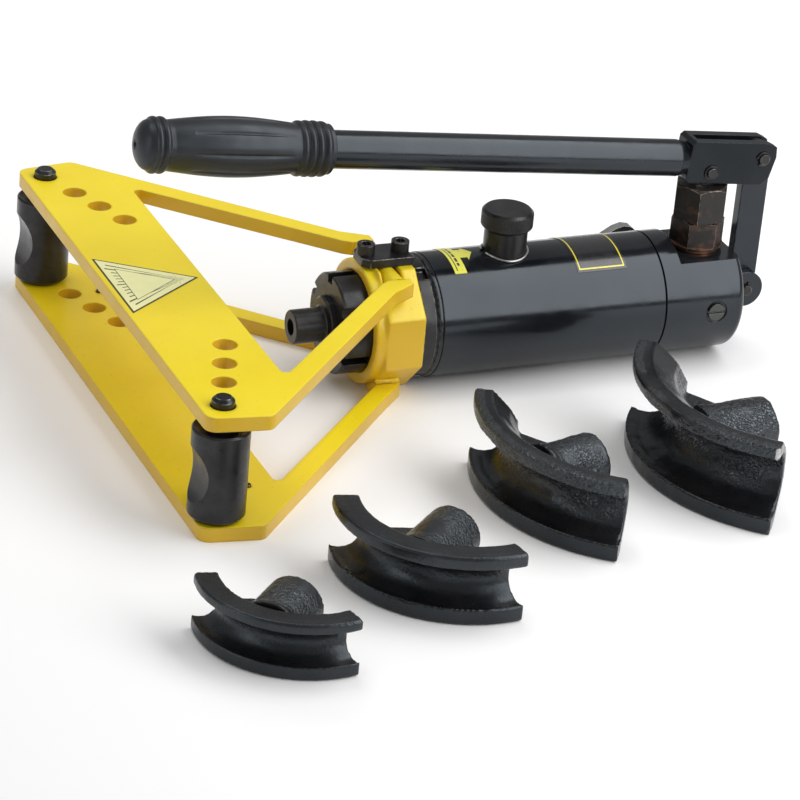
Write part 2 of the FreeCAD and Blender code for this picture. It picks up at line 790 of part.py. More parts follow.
def make_release_valve():
    """Valve stem on the far side with a bent lever that reaches over the tube."""
    outer = "lever_side + lever_width"
    stem = rod("valve_rod", "valve_radius", outer + " - 14", ("valve_back", "14", "valve_height"), ALONG_Y)
    node(stem, "release_valve_stem")
    body = new_body("lever_body")
    sketch = new_sketch(body, "XZ_Plane")
    crest = "-lever_reach / 3"
    draw_outline(sketch, [
        ("-lever_hub", "0"),
        ("-lever_hub / 2", "-lever_hub"),
        ("lever_hub / 2", "-lever_hub"),
        ("lever_hub", "0"),
        ("lever_hub - 2", "lever_rise / 2"),
        (crest + " + 5", "lever_rise - 1"),
        (crest, "lever_rise"),
        (crest + " - 5", "lever_rise - 1.5"),
        ("-lever_reach", "lever_rise / 2"),
        ("-lever_reach + 1", "lever_rise / 2 - lever_thickness"),
        (crest + " - 4", "lever_rise - 2 * lever_thickness"),
        (crest + " + 2", "lever_rise - 2 * lever_thickness"),
        ("-lever_hub / 2", "lever_hub"),
    ])
    pad(body, sketch, "lever_width")
    set_place(body, ("valve_back", outer, "valve_height"))
    hole = rod("lever_hole", "valve_radius", "2 * lever_width",
               ("valve_back", "lever_side - 1", "valve_height"), ALONG_Y)
    node(cut("lever_cut", body, hole), "release_lever")


def make_pump():
    """Copper washer, flanged lock nut and the hexagonal pump barrel that holds the plunger."""
    centre = ("pump_back", "0", "0")
    washer_top = "base_flat + washer_thickness"
    node(ring("washer_body", "base_flat", washer_top, "pump_thread_radius + 0.2", "washer_radius",
              centre, upright=True), "copper_washer")
    nut = chamfered_hex("lock_nut_hex", "lock_nut_flats", washer_top, "lock_nut_top", 46)
    flange = rod("lock_nut_flange", "nut_flange_radius", "nut_flange_height", ("pump_back", "0", washer_top))
    nut_bore = rod("lock_nut_bore", "pump_thread_radius", "40", ("pump_back", "0", "base_flat"))
    node(cut("lock_nut_cut", fuse("lock_nut_solid", nut, flange), nut_bore), "pump_lock_nut")
    upper = chamfered_hex("pump_hex", "pump_flats", "lock_nut_top", "pump_top", 1)
    shank = rod("pump_shank", "pump_thread_radius", "pump_top - pump_bottom - 2",
                ("pump_back", "0", "pump_bottom"))
    bore = rod("pump_bore", "plunger_radius + running_gap", "100", ("pump_back", "0", "pump_bottom - 10"))
    groove_radius = "plunger_radius + 2.5"
    seal_groove = rod("pump_seal_groove", groove_radius, "plunger_seal_height",
                      ("pump_back", "0", "plunger_seal_bottom"))
    node(cut("pump_barrel_cut", fuse("pump_barrel_solid", upper, shank), bore, seal_groove), "pump_barrel")
    node(ring("plunger_seal_body", "plunger_seal_bottom", "plunger_seal_bottom + plunger_seal_height",
              "plunger_radius + 0.02", groove_radius, centre, upright=True), "plunger_seal")


def make_plunger():
    """Round plunger with a flattened eye for the fork's pin."""
    length = "handle_pin_height - plunger_bottom"
    shaft = rod("plunger_rod", "plunger_radius", length, ("pump_back", "0", "plunger_bottom"))
    eye = rod("plunger_eye", "plunger_radius - 0.5", "2 * plunger_flat",
              ("pump_back", "-plunger_flat", "handle_pin_height"), ALONG_Y)
    whole = fuse("plunger_solid", shaft, eye)
    flats = []
    for side, sign in SIDES.items():
        low = "plunger_flat" if sign > 0 else "-plunger_flat - 10"
        flats.append(block(f"plunger_flat_{side}", ("30", "10", "40"),
                           ("pump_back - 15", low, "handle_pin_height - plunger_flat_length")))
    hole = rod("plunger_hole", "pivot_radius + running_gap", "40",
               ("pump_back", "-20", "handle_pin_height"), ALONG_Y)
    node(cut("plunger_cut", whole, *flats, hole), "plunger")


# ---- handle, drawn along its own axis from the plunger pin, and the link -----------------------

HANDLE_TURN = Rotation(Vector(0, 1, 0), value("handle_tilt"))
HANDLE_PLACE = ("pump_back", "0", "handle_pin_height")


def make_fork():
    body = new_body("fork_body")
    sketch = new_sketch(body, "XZ_Plane")
    draw_outline(sketch, [
        ("fork_front", "fork_bottom + fork_corner"),
        ("fork_front + fork_corner", "fork_bottom"),
        ("fork_back - 3 * fork_corner", "fork_bottom"),
        ("fork_back - fork_corner", "fork_bottom + 2 * fork_corner"),
        ("fork_back", "fork_top - 4 * fork_corner"),
        ("fork_back - fork_corner / 2", "fork_top - fork_corner"),
        ("fork_back - 3 * fork_corner", "fork_top"),
        ("fork_front + fork_corner", "fork_top"),
        ("fork_front", "fork_top - fork_corner"),
    ])
    pad(body, sketch, "2 * fork_half_width", True)
    neck = solid("Cone", "fork_neck", ("handle_neck", "0", "handle_rise"), ALONG_X,
                 Radius1="handle_radius", Radius2="fork_half_width - 0.1", Height="neck_length")
    tail = rod("fork_tail", "handle_radius - handle_wall - running_gap", "tail_length + 1",
               ("handle_neck - tail_length", "0", "handle_rise"), ALONG_X)
    slot = block("fork_slot_cut", ("100", "2 * fork_slot", "60"), ("fork_slot_front", "-fork_slot", "-30"))
    pivots = {"plunger": ("0", "0"), "link": ("link_pin_along", "link_pin_rise")}
    pin_holes = [rod(f"fork_hole_{name}", "pivot_radius", "40", (along, "-20", rise), ALONG_Y)
                 for name, (along, rise) in pivots.items()]
    fork = cut("fork_cut", fuse("fork_solid", body, neck, tail), slot, *pin_holes)
    node(set_place(fork, HANDLE_PLACE, HANDLE_TURN), "handle_fork")


def pivot_pin(name, along, half_length, place, turn=None):
    """A pin across the slot with a retaining ring near each end."""
    pin = rod(name + "_rod", "pivot_radius", f"2 * ({half_length} + 2.2)",
              (along[0], f"-({half_length}) - 2.2", along[1]), ALONG_Y)
    clips = []
    for side, sign in SIDES.items():
        low = half_length if sign > 0 else f"-({half_length}) - clip_thickness"
        spot = (along[0], low, along[1])
        clip = rod(f"{name}_clip_{side}", "pivot_radius + 1.6", "clip_thickness", spot, ALONG_Y)
        hole = rod(f"{name}_clip_hole_{side}", "pivot_radius", "clip_thickness", spot, ALONG_Y)
        clips.append(cut(f"{name}_clip_cut_{side}", clip, hole))
    rings = group(name + "_clips", *clips)
    return set_place(group(name + "_pin", pin), place, turn), set_place(rings, place, turn)


def make_pivots():
    half = "fork_half_width"
    pin, clips = pivot_pin("plunger_pivot", ("0", "0"), half, HANDLE_PLACE, HANDLE_TURN)
    node(pin, "plunger_pin")
    node(clips, "plunger_pin_clips")
    pin, clips = pivot_pin("link_top", ("link_pin_along", "link_pin_rise"), half,
                           HANDLE_PLACE, HANDLE_TURN)
    node(pin, "link_top_pin")
    node(clips, "link_top_pin_clips")
    pin, clips = pivot_pin("link_foot", ("link_pin_back", "link_pin_height"), "ear_outer_side",
                           ("0", "0", "0"))
    node(pin, "link_foot_pin")
    node(clips, "link_foot_pin_clips")


def make_handle_tube():
    tube = ring("handle_tube_body", "grip_front + 8", "handle_neck", "handle_radius - handle_wall",
                "handle_radius", ("0", "0", "handle_rise"))
    moved = group("handle_tube_group", tube)
    node(set_place(moved, HANDLE_PLACE, HANDLE_TURN), "handle_tube")


def ribs(first, pitch, count):
    """Outline corners of raised bands round the grip, counted from its free end."""
    corners = []
    for index in range(count):
        start = first + index * pitch
        corners.append((f"grip_front + {start:.1f}", "grip_sleeve"))
        corners.append((f"grip_front + {start + 0.8:.1f}", "grip_rib"))
        corners.append((f"grip_front + {start + 2.6:.1f}", "grip_rib"))
        corners.append((f"grip_front + {start + 3.4:.1f}", "grip_sleeve"))
    return corners


def swelling(first, length, steps):
    """Outline corners of the grip's swollen middle, a half sine wave."""
    corners = []
    for step in range(steps + 1):
        share = step / steps
        radius = f"grip_sleeve + (grip_swell - grip_sleeve) * {math.sin(math.pi * share):.4f}"
        corners.append((f"grip_front + {first + length * share:.1f}", radius))
    return corners


def make_grip():
    """Rubber grip: ribbed at both ends, swollen and fluted between them."""
    outline = [
        ("grip_front", "0"),
        ("grip_front", "grip_sleeve / 2"),
        ("grip_front + 1.5", "grip_sleeve - 2.5"),
        ("grip_front + 4", "grip_sleeve"),
    ]
    outline += ribs(first=7.6, pitch=4.3, count=2)
    outline += swelling(first=19, length=66, steps=6)
    outline += ribs(first=89.7, pitch=4.5, count=4)
    outline += [
        ("grip_back", "grip_sleeve"),
        ("grip_back", "handle_radius"),
        ("grip_front + 8", "handle_radius"),
        ("grip_front + 8", "0"),
    ]
    blank = turned("grip_blank", outline, ("0", "0", "handle_rise"))
    flutes = []
    for index in range(FLUTES):
        angle = FIRST_FLUTE + 360 / FLUTES * index
        place = ("grip_front + 57", f"flute_side * cos({angle})", f"handle_rise + flute_side * sin({angle})")
        flutes.append(solid("Ellipsoid", f"grip_flute_{index}", place, ALONG_X,
                            Radius1="flute_length / 2", Radius2="flute_radius", Radius3="flute_radius"))
    grip = cut("grip_cut", blank, *flutes)
    node(set_place(grip, HANDLE_PLACE, HANDLE_TURN), "handle_grip")


def make_link():
    """Flat link from the ears of the base up to the fork; its upper hole has play."""
    rise = value("handle_pin_height") - value("link_pin_height")
    tilt = math.radians(value("handle_tilt"))
    along = value("link_pin_along") * math.cos(tilt) + value("link_pin_rise") * math.sin(tilt)
    rise += value("link_pin_rise") * math.cos(tilt) - value("link_pin_along") * math.sin(tilt)
    along += value("pump_back") - value("link_pin_back")
    length = math.hypot(along, rise)
    lean = math.degrees(math.atan2(along, rise))
    body = block("link_bar", ("2 * link_half_width", "2 * link_half_thickness", f"{length:.4f}"),
                 ("-link_half_width", "-link_half_thickness", "0"))
    eyes = [rod(f"link_eye_{name}", "link_half_width", "2 * link_half_thickness",
                ("0", "-link_half_thickness", height), ALONG_Y)
            for name, height in (("foot", "0"), ("top", f"{length:.4f}"))]
    foot_hole = rod("link_foot_hole", "pivot_radius + running_gap", "40", ("0", "-20", "0"), ALONG_Y)
    top_hole = rod("link_top_hole", "link_hole_radius", "40", ("0", "-20", f"{length:.4f}"), ALONG_Y)
    link = cut("link_cut", fuse("link_solid", body, *eyes), foot_hole, top_hole)
    turn = Rotation(Vector(0, 1, 0), lean)
    node(set_place(link, ("link_pin_back", "0", "link_pin_height"), turn), "link")


# ---- rollers, pins and labels ------------------------------------------------------------------

def make_rollers():
    for side, sign in SIDES.items():
        centre = ("0", f"{sign} * pin_side", "0")
        blank = turned(f"roller_blank_{side}", [
            ("roller_bottom", "pin_radius + running_gap"),
            ("roller_bottom", "roller_radius - roller_edge"),
            ("roller_bottom + roller_edge", "roller_radius"),
            ("roller_top - 1", "roller_radius"),
            ("roller_top", "roller_radius - 1"),
            ("roller_top - 2", "pin_radius + 3"),
            ("roller_top - 2", "pin_radius + running_gap"),
        ], centre, upright=True)
        saddle_side = "roller_radius - saddle_depth + saddle_radius"
        middle = "(roller_bottom + roller_top) / 2"
        saddle = rod(f"saddle_{side}", "saddle_radius", "60",
                     (f"-({saddle_side})", f"{sign} * pin_side - 30", middle), ALONG_Y)
        node(cut(f"roller_cut_{side}", blank, saddle), f"{side}_roller")
        pin = turned(f"pin_body_{side}", [
            ("0.5", "0"),
            ("0.5", "pin_radius - 1"),
            ("1.5", "pin_radius"),
            ("roller_top + 0.2", "pin_radius"),
            ("roller_top + 0.2", "clip_groove_radius"),
            ("roller_top + 0.2 + clip_thickness", "clip_groove_radius"),
            ("roller_top + 0.2 + clip_thickness", "pin_radius"),
            ("pin_top - pin_chamfer", "pin_radius"),
            ("pin_top", "pin_radius - pin_chamfer"),
            ("pin_top", "0"),
        ], centre, upright=True)
        node(pin, f"{side}_roller_pin")
        clip = ring(f"clip_body_{side}", "roller_top + 0.2", "roller_top + 0.2 + clip_thickness",
                    "clip_groove_radius", "clip_radius", centre, upright=True)
        node(clip, f"{side}_pin_clip")


def flat_outline(name, corners, length):
    """A body padded upwards from an outline on the floor."""
    body = new_body(name)
    sketch = new_sketch(body, "XY_Plane")
    draw_outline(sketch, corners)
    pad(body, sketch, length)
    return body


def tube_label(name, corners):
    """A thin plate wrapped over the reservoir tube, with the outline that it has seen from above."""
    skin = ring(name + "_skin", corners[0][0], "reservoir_back", "reservoir_radius",
                "reservoir_radius + label_thickness")
    outline = flat_outline(name + "_outline", corners, "axis_height")
    set_place(outline, ("0", "0", "axis_height + 10"))
    node(common(name + "_shape", skin, outline), name)


def make_labels():
    """Printed plates without lettering: an arrow, a rectangle and a bending scale's triangle."""
    tube_label("arrow_label", [
        ("arrow_front", "-arrow_side"),
        ("arrow_band", "-arrow_side"),
        ("arrow_band", "-arrow_stem_side"),
        ("arrow_neck", "-arrow_stem_side"),
        ("arrow_neck", "-arrow_head_side"),
        ("arrow_tip", "0"),
        ("arrow_neck", "arrow_head_side"),
        ("arrow_neck", "arrow_stem_side"),
        ("arrow_band", "arrow_stem_side"),
        ("arrow_band", "arrow_side"),
        ("arrow_front", "arrow_side"),
    ])
    tube_label("plate_label", [
        ("plate_label_front", "-plate_label_side"),
        ("plate_label_back", "-plate_label_side"),
        ("plate_label_back", "plate_label_side"),
        ("plate_label_front", "plate_label_side"),
    ])
    triangle = flat_outline("scale_label_body", [
        ("scale_label_front", "scale_label_side"),
        ("scale_label_front", "-scale_label_side"),
        ("scale_label_back", "0"),
    ], "label_thickness")
    set_place(triangle, ("0", "0", "upper_wing_bottom + plate_thickness"))
    node(triangle, "scale_label")


# ---- formers -----------------------------------------------------------------------------------

def make_former(name):
    """Arc with a tube groove, drawn with its groove towards -X and its hub along +X."""
    pipe, flange, width = f"{name}_pipe", f"{name}_flange", f"{name}_width"
    rim_inner = f"({flange} - {name}_rim)"
    shell = f"({pipe} + groove_wall)"
    inner = f"({flange} - (1 + lip_share) * {pipe} - groove_wall)"
    middle = f"{width} / 2"
    arc = value(f"{name}_arc")
    body = new_body(f"former_arc_{name}")
    sketch = new_sketch(body, "XZ_Plane")
    opening = f"{pipe} + groove_flare"
    flare = f"{flange} - lip_share * {pipe}"
    draw_outline(sketch, [
        (rim_inner, "0"), (f"{flange} - 1", "0"), (flange, "1"), (flange, f"{middle} - {opening}"),
        (flare, f"{middle} - {pipe}"), (flare, f"{middle} + {pipe}"),
        (flange, f"{middle} + {opening}"), (flange, f"{width} - 1"), (f"{flange} - 1", width),
        (rim_inner, width),
        (f"{flare} - {shell} * sqrt(0.5)", f"{middle} + {shell} * sqrt(0.5)"),
        (inner, f"{middle} + web_half + wall_taper"), (inner, f"{middle} - web_half - wall_taper"),
        (f"{flare} - {shell} * sqrt(0.5)", f"{middle} - {shell} * sqrt(0.5)"),
    ])
    feature = body.newObject("PartDesign::Revolution", f"former_turned_{name}")
    feature.Profile = sketch
    feature.ReferenceAxis = (sketch, ["V_Axis"])
    feature.setExpression("Angle", bound(f"{name}_arc"))
    set_place(body, ("0", "0", "0"), Rotation(Vector(0, 0, 1), 180 - arc / 2))
    groove = solid("Torus", f"former_groove_{name}", ("0", "0", middle), None,
                   Radius1=flare, Radius2=pipe)
    hub_length = f"{inner} + hub_root + {name}_hub_end"
    hub = rod(f"former_hub_{name}", "hub_radius", hub_length, (f"-{inner} - hub_root", "0", middle), ALONG_X)
    root = solid("Cone", f"former_root_{name}", (f"-{inner} - hub_root", "0", middle), ALONG_X,
                 Radius1="hub_radius + root_flare", Radius2="hub_radius - 1", Height=f"({hub_length}) / 3")
    reach = math.radians(arc / 2 - 6)
    radius = value(inner) + 2
    web = new_body(f"former_web_{name}")
    web_sketch = new_sketch(web, "XY_Plane")
    tip_x = f"-{radius * math.cos(reach):.3f}"
    tip_y = radius * math.sin(reach)
    draw_outline(web_sketch, [
        (tip_x, f"{tip_y:.3f}"), (f"-{inner} - 2", "0"), (tip_x, f"{-tip_y:.3f}"),
        (f"{name}_hub_end - 8", "-hub_radius + 4"), (f"{name}_hub_end - 8", "hub_radius - 4"),
    ])
    pad(web, web_sketch, "2 * web_half", True)
    set_place(web, ("0", "0", middle))
    socket = rod(f"former_socket_{name}", "socket_radius", "socket_depth + 5",
                 (f"{name}_hub_end - socket_depth", "0", middle), ALONG_X)
    whole = cut(f"former_cut_{name}", fuse(f"former_solid_{name}", body, hub, root, web), groove, socket)
    turn = Rotation(Vector(0, 0, 1), value(f"{name}_turn"))
    node(set_place(whole, (f"{name}_along", f"{name}_side", "0"), turn), f"former_{name}_inch")


# ---- build -------------------------------------------------------------------------------------

def check_and_write():
    failed = [item.Name for item in doc.Objects if {"Invalid", "Error"} & set(item.State)]
    if failed:
        raise RuntimeError(f"failed objects: {failed}")
    os.makedirs("parts", exist_ok=True)
    for piece in nodes:
        if piece.Shape.isNull() or not piece.Shape.isValid() or piece.Shape.Volume <= 0:
            raise RuntimeError(f"bad shape: {piece.Label}")
    for piece in nodes:
        piece.Shape.exportStep(f"parts/{piece.Label}.step")
        print(f"{piece.Label}: {piece.Shape.Volume:.0f} mm3 in {len(piece.Shape.Solids)} solids")


make_upper_wing()
make_lower_wing(make_collar())
make_foot_screws()
make_clamp()
make_clamp_screws()
make_front_nut()
make_lock_ring()
make_barrel()
make_ram()
make_return_spring()
make_reservoir()
make_filler()
make_filler_cap()
make_pump_base()
make_relief_plug()
make_release_valve()
make_pump()
make_plunger()
make_fork()
make_pivots()
make_handle_tube()
make_grip()
make_link()
make_rollers()
make_labels()
for former in FORMERS:
    make_former(former)
doc.recompute()
check_and_write()
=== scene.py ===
"""Looks of the hydraulic tube bender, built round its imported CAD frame. Everything is in metres."""

import json
import math

import bmesh
import bpy
from mathutils import Matrix, Vector, noise

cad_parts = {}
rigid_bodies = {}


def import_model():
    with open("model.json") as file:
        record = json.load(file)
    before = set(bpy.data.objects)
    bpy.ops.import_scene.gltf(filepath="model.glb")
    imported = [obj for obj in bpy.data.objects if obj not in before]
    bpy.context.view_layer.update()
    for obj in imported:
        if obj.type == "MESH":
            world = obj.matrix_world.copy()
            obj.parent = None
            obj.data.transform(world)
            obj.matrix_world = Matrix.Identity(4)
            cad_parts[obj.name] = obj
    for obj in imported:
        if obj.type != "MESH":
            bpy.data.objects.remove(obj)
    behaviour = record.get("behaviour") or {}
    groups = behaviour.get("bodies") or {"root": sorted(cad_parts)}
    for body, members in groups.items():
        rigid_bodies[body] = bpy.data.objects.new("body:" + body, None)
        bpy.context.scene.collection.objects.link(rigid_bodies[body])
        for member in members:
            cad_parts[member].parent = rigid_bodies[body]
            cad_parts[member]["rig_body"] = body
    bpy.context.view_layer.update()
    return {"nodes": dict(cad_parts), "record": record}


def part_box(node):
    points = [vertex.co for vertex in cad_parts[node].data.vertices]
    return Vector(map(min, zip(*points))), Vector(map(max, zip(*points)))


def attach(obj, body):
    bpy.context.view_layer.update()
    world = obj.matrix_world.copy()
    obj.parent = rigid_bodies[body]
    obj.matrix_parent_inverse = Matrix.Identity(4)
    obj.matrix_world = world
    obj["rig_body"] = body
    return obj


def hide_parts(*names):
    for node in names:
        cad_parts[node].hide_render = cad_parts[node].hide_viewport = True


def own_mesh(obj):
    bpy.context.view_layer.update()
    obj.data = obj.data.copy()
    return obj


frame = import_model()
NODES = frame["nodes"]
MOUNTS = frame["record"]["mounts"]
SLOT_OF = {part["node"]: part["material_slot"] for part in frame["record"]["subparts"]}
BODY_OF = {name: node["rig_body"] for name, node in NODES.items()}
MM = 0.001


# ---- material kit ------------------------------------------------------------------------------

class Finish:
    """A node material under construction: each method adds nodes and returns an output socket."""

    def __init__(self, name):
        self.material = bpy.data.materials.new(name)
        self.material.use_nodes = True
        self.tree = self.material.node_tree
        self.shader = self.tree.nodes["Principled BSDF"]
        self.place = self.add("TexCoord").outputs["Object"]

    def add(self, kind, **settings):
        """A new node of the given kind."""
        made = self.tree.nodes.new("ShaderNode" + kind)
        for name, setting in settings.items():
            setattr(made, name, setting)
        return made

    def feed(self, socket, source):
        """Gives an input socket another node's output, or a plain value."""
        if isinstance(source, bpy.types.NodeSocket):
            self.tree.links.new(source, socket)
        else:
            socket.default_value = source

    def stretched(self, scale):
        """The place in the object, stretched by a factor along each axis."""
        mapping = self.add("Mapping")
        self.feed(mapping.inputs["Vector"], self.place)
        mapping.inputs["Scale"].default_value = scale
        return mapping.outputs["Vector"]

    def noise(self, size, detail=3.0, rough=0.5, scale=(1, 1, 1)):
        """Cloudy value from 0 to 1, with clouds about size millimetres wide."""
        cloud = self.add("TexNoise")
        self.feed(cloud.inputs["Vector"], self.stretched(scale))
        cloud.inputs["Scale"].default_value = 1 / (size * MM)
        cloud.inputs["Detail"].default_value = detail
        cloud.inputs["Roughness"].default_value = rough
        return cloud.outputs["Fac"]

    def math(self, operation, first, second=0.0):
        """One arithmetic step on two values."""
        step = self.add("Math", operation=operation)
        self.feed(step.inputs[0], first)
        self.feed(step.inputs[1], second)
        return step.outputs[0]

    def span(self, source, low, high, to_low=0.0, to_high=1.0):
        """source between low and high, mapped to the other span and held at its ends."""
        step = self.add("MapRange")
        for name, amount in zip(("Value", "From Min", "From Max", "To Min", "To Max"),
                                (source, low, high, to_low, to_high)):
            self.feed(step.inputs[name], amount)
        return step.outputs["Result"]

    def mix(self, share, first, second):
        """Colour between first and second."""
        blend = self.add("Mix", data_type="RGBA")
        self.feed(blend.inputs["Factor"], share)
        self.feed(blend.inputs["A"], first)
        self.feed(blend.inputs["B"], second)
        return blend.outputs["Result"]

    def drift(self, low, high, size, detail=4):
        """A value that drifts between low and high, in clouds about size millimetres wide."""
        return self.span(self.noise(size, detail), 0.3, 0.7, low, high)

    def clouded(self, colours, size, detail=4, rough=0.5):
        """A colour that drifts between two, in clouds about size millimetres wide."""
        return self.mix(self.span(self.noise(size, detail, rough), 0.35, 0.65), *colours)

    def axis(self, letter):
        """One coordinate of the place in the object, in metres."""
        parts = self.add("SeparateXYZ")
        self.feed(parts.inputs[0], self.place)
        return parts.outputs[letter]

    def upward(self):
        """How far the surface faces up: 1 on level tops, 0 on upright sides."""
        parts = self.add("SeparateXYZ")
        self.feed(parts.inputs[0], self.add("NewGeometry").outputs["Normal"])
        return parts.outputs["Z"]

    def edge(self):
        """1 on rounded edges, broken up by noise, and 0 on flat faces."""
        return self.math("MULTIPLY", self.marked("edge"), self.span(self.noise(2.5, 4), 0.42, 0.6))

    def marked(self, name):
        """A value that the piece's own corners or faces carry, and 0 on other pieces."""
        return self.add("Attribute", attribute_name=name).outputs["Fac"]

    def rounded(self, radius):
        """Surface normal that turns smoothly over every sharp edge, within radius millimetres."""
        step = self.add("Bevel", samples=6)
        step.inputs["Radius"].default_value = radius * MM
        return step.outputs["Normal"]

    def bump(self, height, depth, under=None):
        """Surface normal from a height; depth is how many millimetres a height of 1 stands."""
        step = self.add("Bump")
        step.inputs["Distance"].default_value = depth * MM
        self.feed(step.inputs["Height"], height)
        if under is not None:
            self.feed(step.inputs["Normal"], under)
        return step.outputs["Normal"]

    def done(self, colour, roughness, normal=None, metallic=0.0, coat=0.0, coat_roughness=0.1,
             gloss=0.5, tint=(1, 1, 1)):
        """The finished material; gloss and tint are the strength and colour of its reflection."""
        for name, amount in (("Base Color", colour), ("Roughness", roughness), ("Metallic", metallic),
                             ("Coat Weight", coat), ("Coat Roughness", coat_roughness),
                             ("Specular IOR Level", gloss), ("Specular Tint", rgb(*tint))):
            self.feed(self.shader.inputs[name], amount)
        if normal is not None:
            self.feed(self.shader.inputs["Normal"], normal)
        return self.material


def rgb(red, green, blue):
    """An opaque colour."""
    return (red, green, blue, 1.0)


# ---- colours; a pair is the two ends between which a finish drifts -----------------------------

# painted light and shade: the side pair is the yellow darkened as if in shade, the top pair the yellow
# lightened as if lit from above
SHADED_SIDE_YELLOW = (rgb(0.66, 0.405, 0.008), rgb(0.71, 0.45, 0.012))
LIT_TOP_YELLOW = (rgb(0.84, 0.64, 0.008), rgb(0.89, 0.7, 0.012))
YELLOW_EDGE = rgb(0.95, 0.83, 0.16)
YELLOW_SPECK = rgb(0.45, 0.3, 0.02)
ENAMEL = (rgb(0.006, 0.0065, 0.008), rgb(0.013, 0.0135, 0.016))
ENAMEL_EDGE = rgb(0.16, 0.15, 0.145)
# painted shadow: the near-black line drawn at the tank's joint in place of the shade in its groove
JOINT_SHADOW = rgb(0.001, 0.001, 0.001)
BLACK_OXIDE = (rgb(0.012, 0.012, 0.014), rgb(0.035, 0.034, 0.034))
BARE_STEEL = (rgb(0.32, 0.31, 0.3), rgb(0.56, 0.56, 0.55))
STEEL_EDGE = rgb(0.42, 0.41, 0.4)
DULL_FILM = rgb(0.07, 0.075, 0.068)
BRONZED = (rgb(0.026, 0.024, 0.023), rgb(0.13, 0.065, 0.04))
BRONZED_EDGE = rgb(0.4, 0.27, 0.19)
COPPER = (rgb(0.62, 0.27, 0.14), rgb(0.24, 0.11, 0.07))
SEAL_BLACK = (rgb(0.015, 0.015, 0.015), rgb(0.03, 0.03, 0.03))
GRIP_BLACK = (rgb(0.009, 0.009, 0.011), rgb(0.018, 0.018, 0.02))
CASTING_BLACK = (rgb(0.006, 0.0062, 0.007), rgb(0.015, 0.015, 0.016))
CHIPPED_IRON = rgb(0.17, 0.16, 0.14)
SCRAPED_IRON = rgb(0.5, 0.49, 0.47)
DARK_INK = rgb(0.03, 0.03, 0.03)
YELLOW_INK = rgb(0.85, 0.72, 0.03)
BLACK_PLATE = rgb(0.012, 0.012, 0.014)
ARROW_YELLOW = rgb(0.83, 0.8, 0.1)
SCALE_YELLOW = rgb(0.88, 0.86, 0.42)
FLOOR_WHITE = (rgb(0.93, 0.93, 0.93), rgb(0.95, 0.95, 0.95))
GLOSS = 0.47              # reflection of every black finish
COOL = (0.8, 0.91, 1.0)   # its faint blue


# ---- materials ---------------------------------------------------------------------------------

def wing_paint():
    """Thick yellow enamel with painted light and shade: a paler yellow on level tops, as if lit from above,
    and a deeper, more orange one on upright sides, as if in shade; with a faint orange peel and paler edges.
    """
    kit = Finish("wing_paint")
    # painted light and shade: the colour turns from the shaded side yellow to the lit top yellow as the face
    # turns upward
    lit_top_share = kit.span(kit.upward(), 0.05, 0.75)
    colour = kit.mix(lit_top_share, kit.clouded(SHADED_SIDE_YELLOW, 60), kit.clouded(LIT_TOP_YELLOW, 60))
    colour = kit.mix(kit.math("MULTIPLY", kit.edge(), 0.3), colour, YELLOW_EDGE)
    colour = kit.mix(kit.span(kit.noise(1.4, 2), 0.69, 0.74, 0, 0.5), colour, YELLOW_SPECK)
    peel = kit.bump(kit.noise(18, 2), 0.25, kit.rounded(1.6))
    peel = kit.bump(kit.noise(2.2, 2), 0.05, peel)
    return kit.done(colour, kit.drift(0.3, 0.42, 9, 3), peel, coat=0.16, coat_roughness=0.16)


def black_gloss(name, worn, roughness, peel, seam=None):
    """Glossy black enamel, less so on faces marked dull. worn is how far bare metal shows along the edges,
    peel how many millimetres its ripples stand, seam the place along X of a joint whose groove is painted in
    as a thin line of shade, near black and without gloss."""
    kit = Finish(name)
    edge = kit.math("MULTIPLY", kit.edge(), worn)
    colour = kit.mix(edge, kit.clouded(ENAMEL, 35), ENAMEL_EDGE)
    rough = kit.drift(roughness, roughness + 0.1, 12)
    rough = kit.math("ADD", rough, kit.math("MULTIPLY", edge, 0.15))
    dull = kit.marked("dull")
    if seam is not None:
        # painted shade: a thin near-black line without gloss stands for the shadow in the groove at the joint
        away = kit.math("ABSOLUTE", kit.math("SUBTRACT", kit.axis("X"), seam))
        joint_shade = kit.span(away, 0.35 * MM, 0.75 * MM, 1.0, 0.0)
        colour = kit.mix(joint_shade, colour, JOINT_SHADOW)
        rough = kit.math("MAXIMUM", rough, joint_shade)
        dull = kit.math("MAXIMUM", dull, joint_shade)
    gloss = kit.span(dull, 0, 1, GLOSS, 0)
    normal = kit.bump(kit.noise(22, 2), peel * 5, kit.rounded(0.9))
    normal = kit.bump(kit.noise(3, 2), peel, normal)
    return kit.done(colour, rough, normal, gloss=gloss, tint=COOL)


def turned_steel(name, colours, roughness, metallic, wear):
    """Machined steel with fine tool marks, cloudy oxide, brighter edges as far as wear says, and a
    grey film over faces marked dull."""
    kit = Finish(name)
    colour = kit.mix(kit.span(kit.noise(14, 5, 0.6), 0.3, 0.7), *colours)
    colour = kit.mix(kit.math("MULTIPLY", kit.edge(), wear), colour, STEEL_EDGE)
    colour = kit.mix(kit.marked("dull"), colour, DULL_FILM)
    rough = kit.span(kit.noise(6, 4), 0.25, 0.75, roughness - 0.06, roughness + 0.12)
    tool_marks = kit.noise(0.5, 3, 0.6, (1, 0.12, 1))
    normal = kit.bump(tool_marks, 0.03, kit.bump(kit.noise(7, 3), 0.06, kit.rounded(0.6)))
    return kit.done(colour, rough, normal, metallic=metallic, coat=0.15, coat_roughness=0.3)


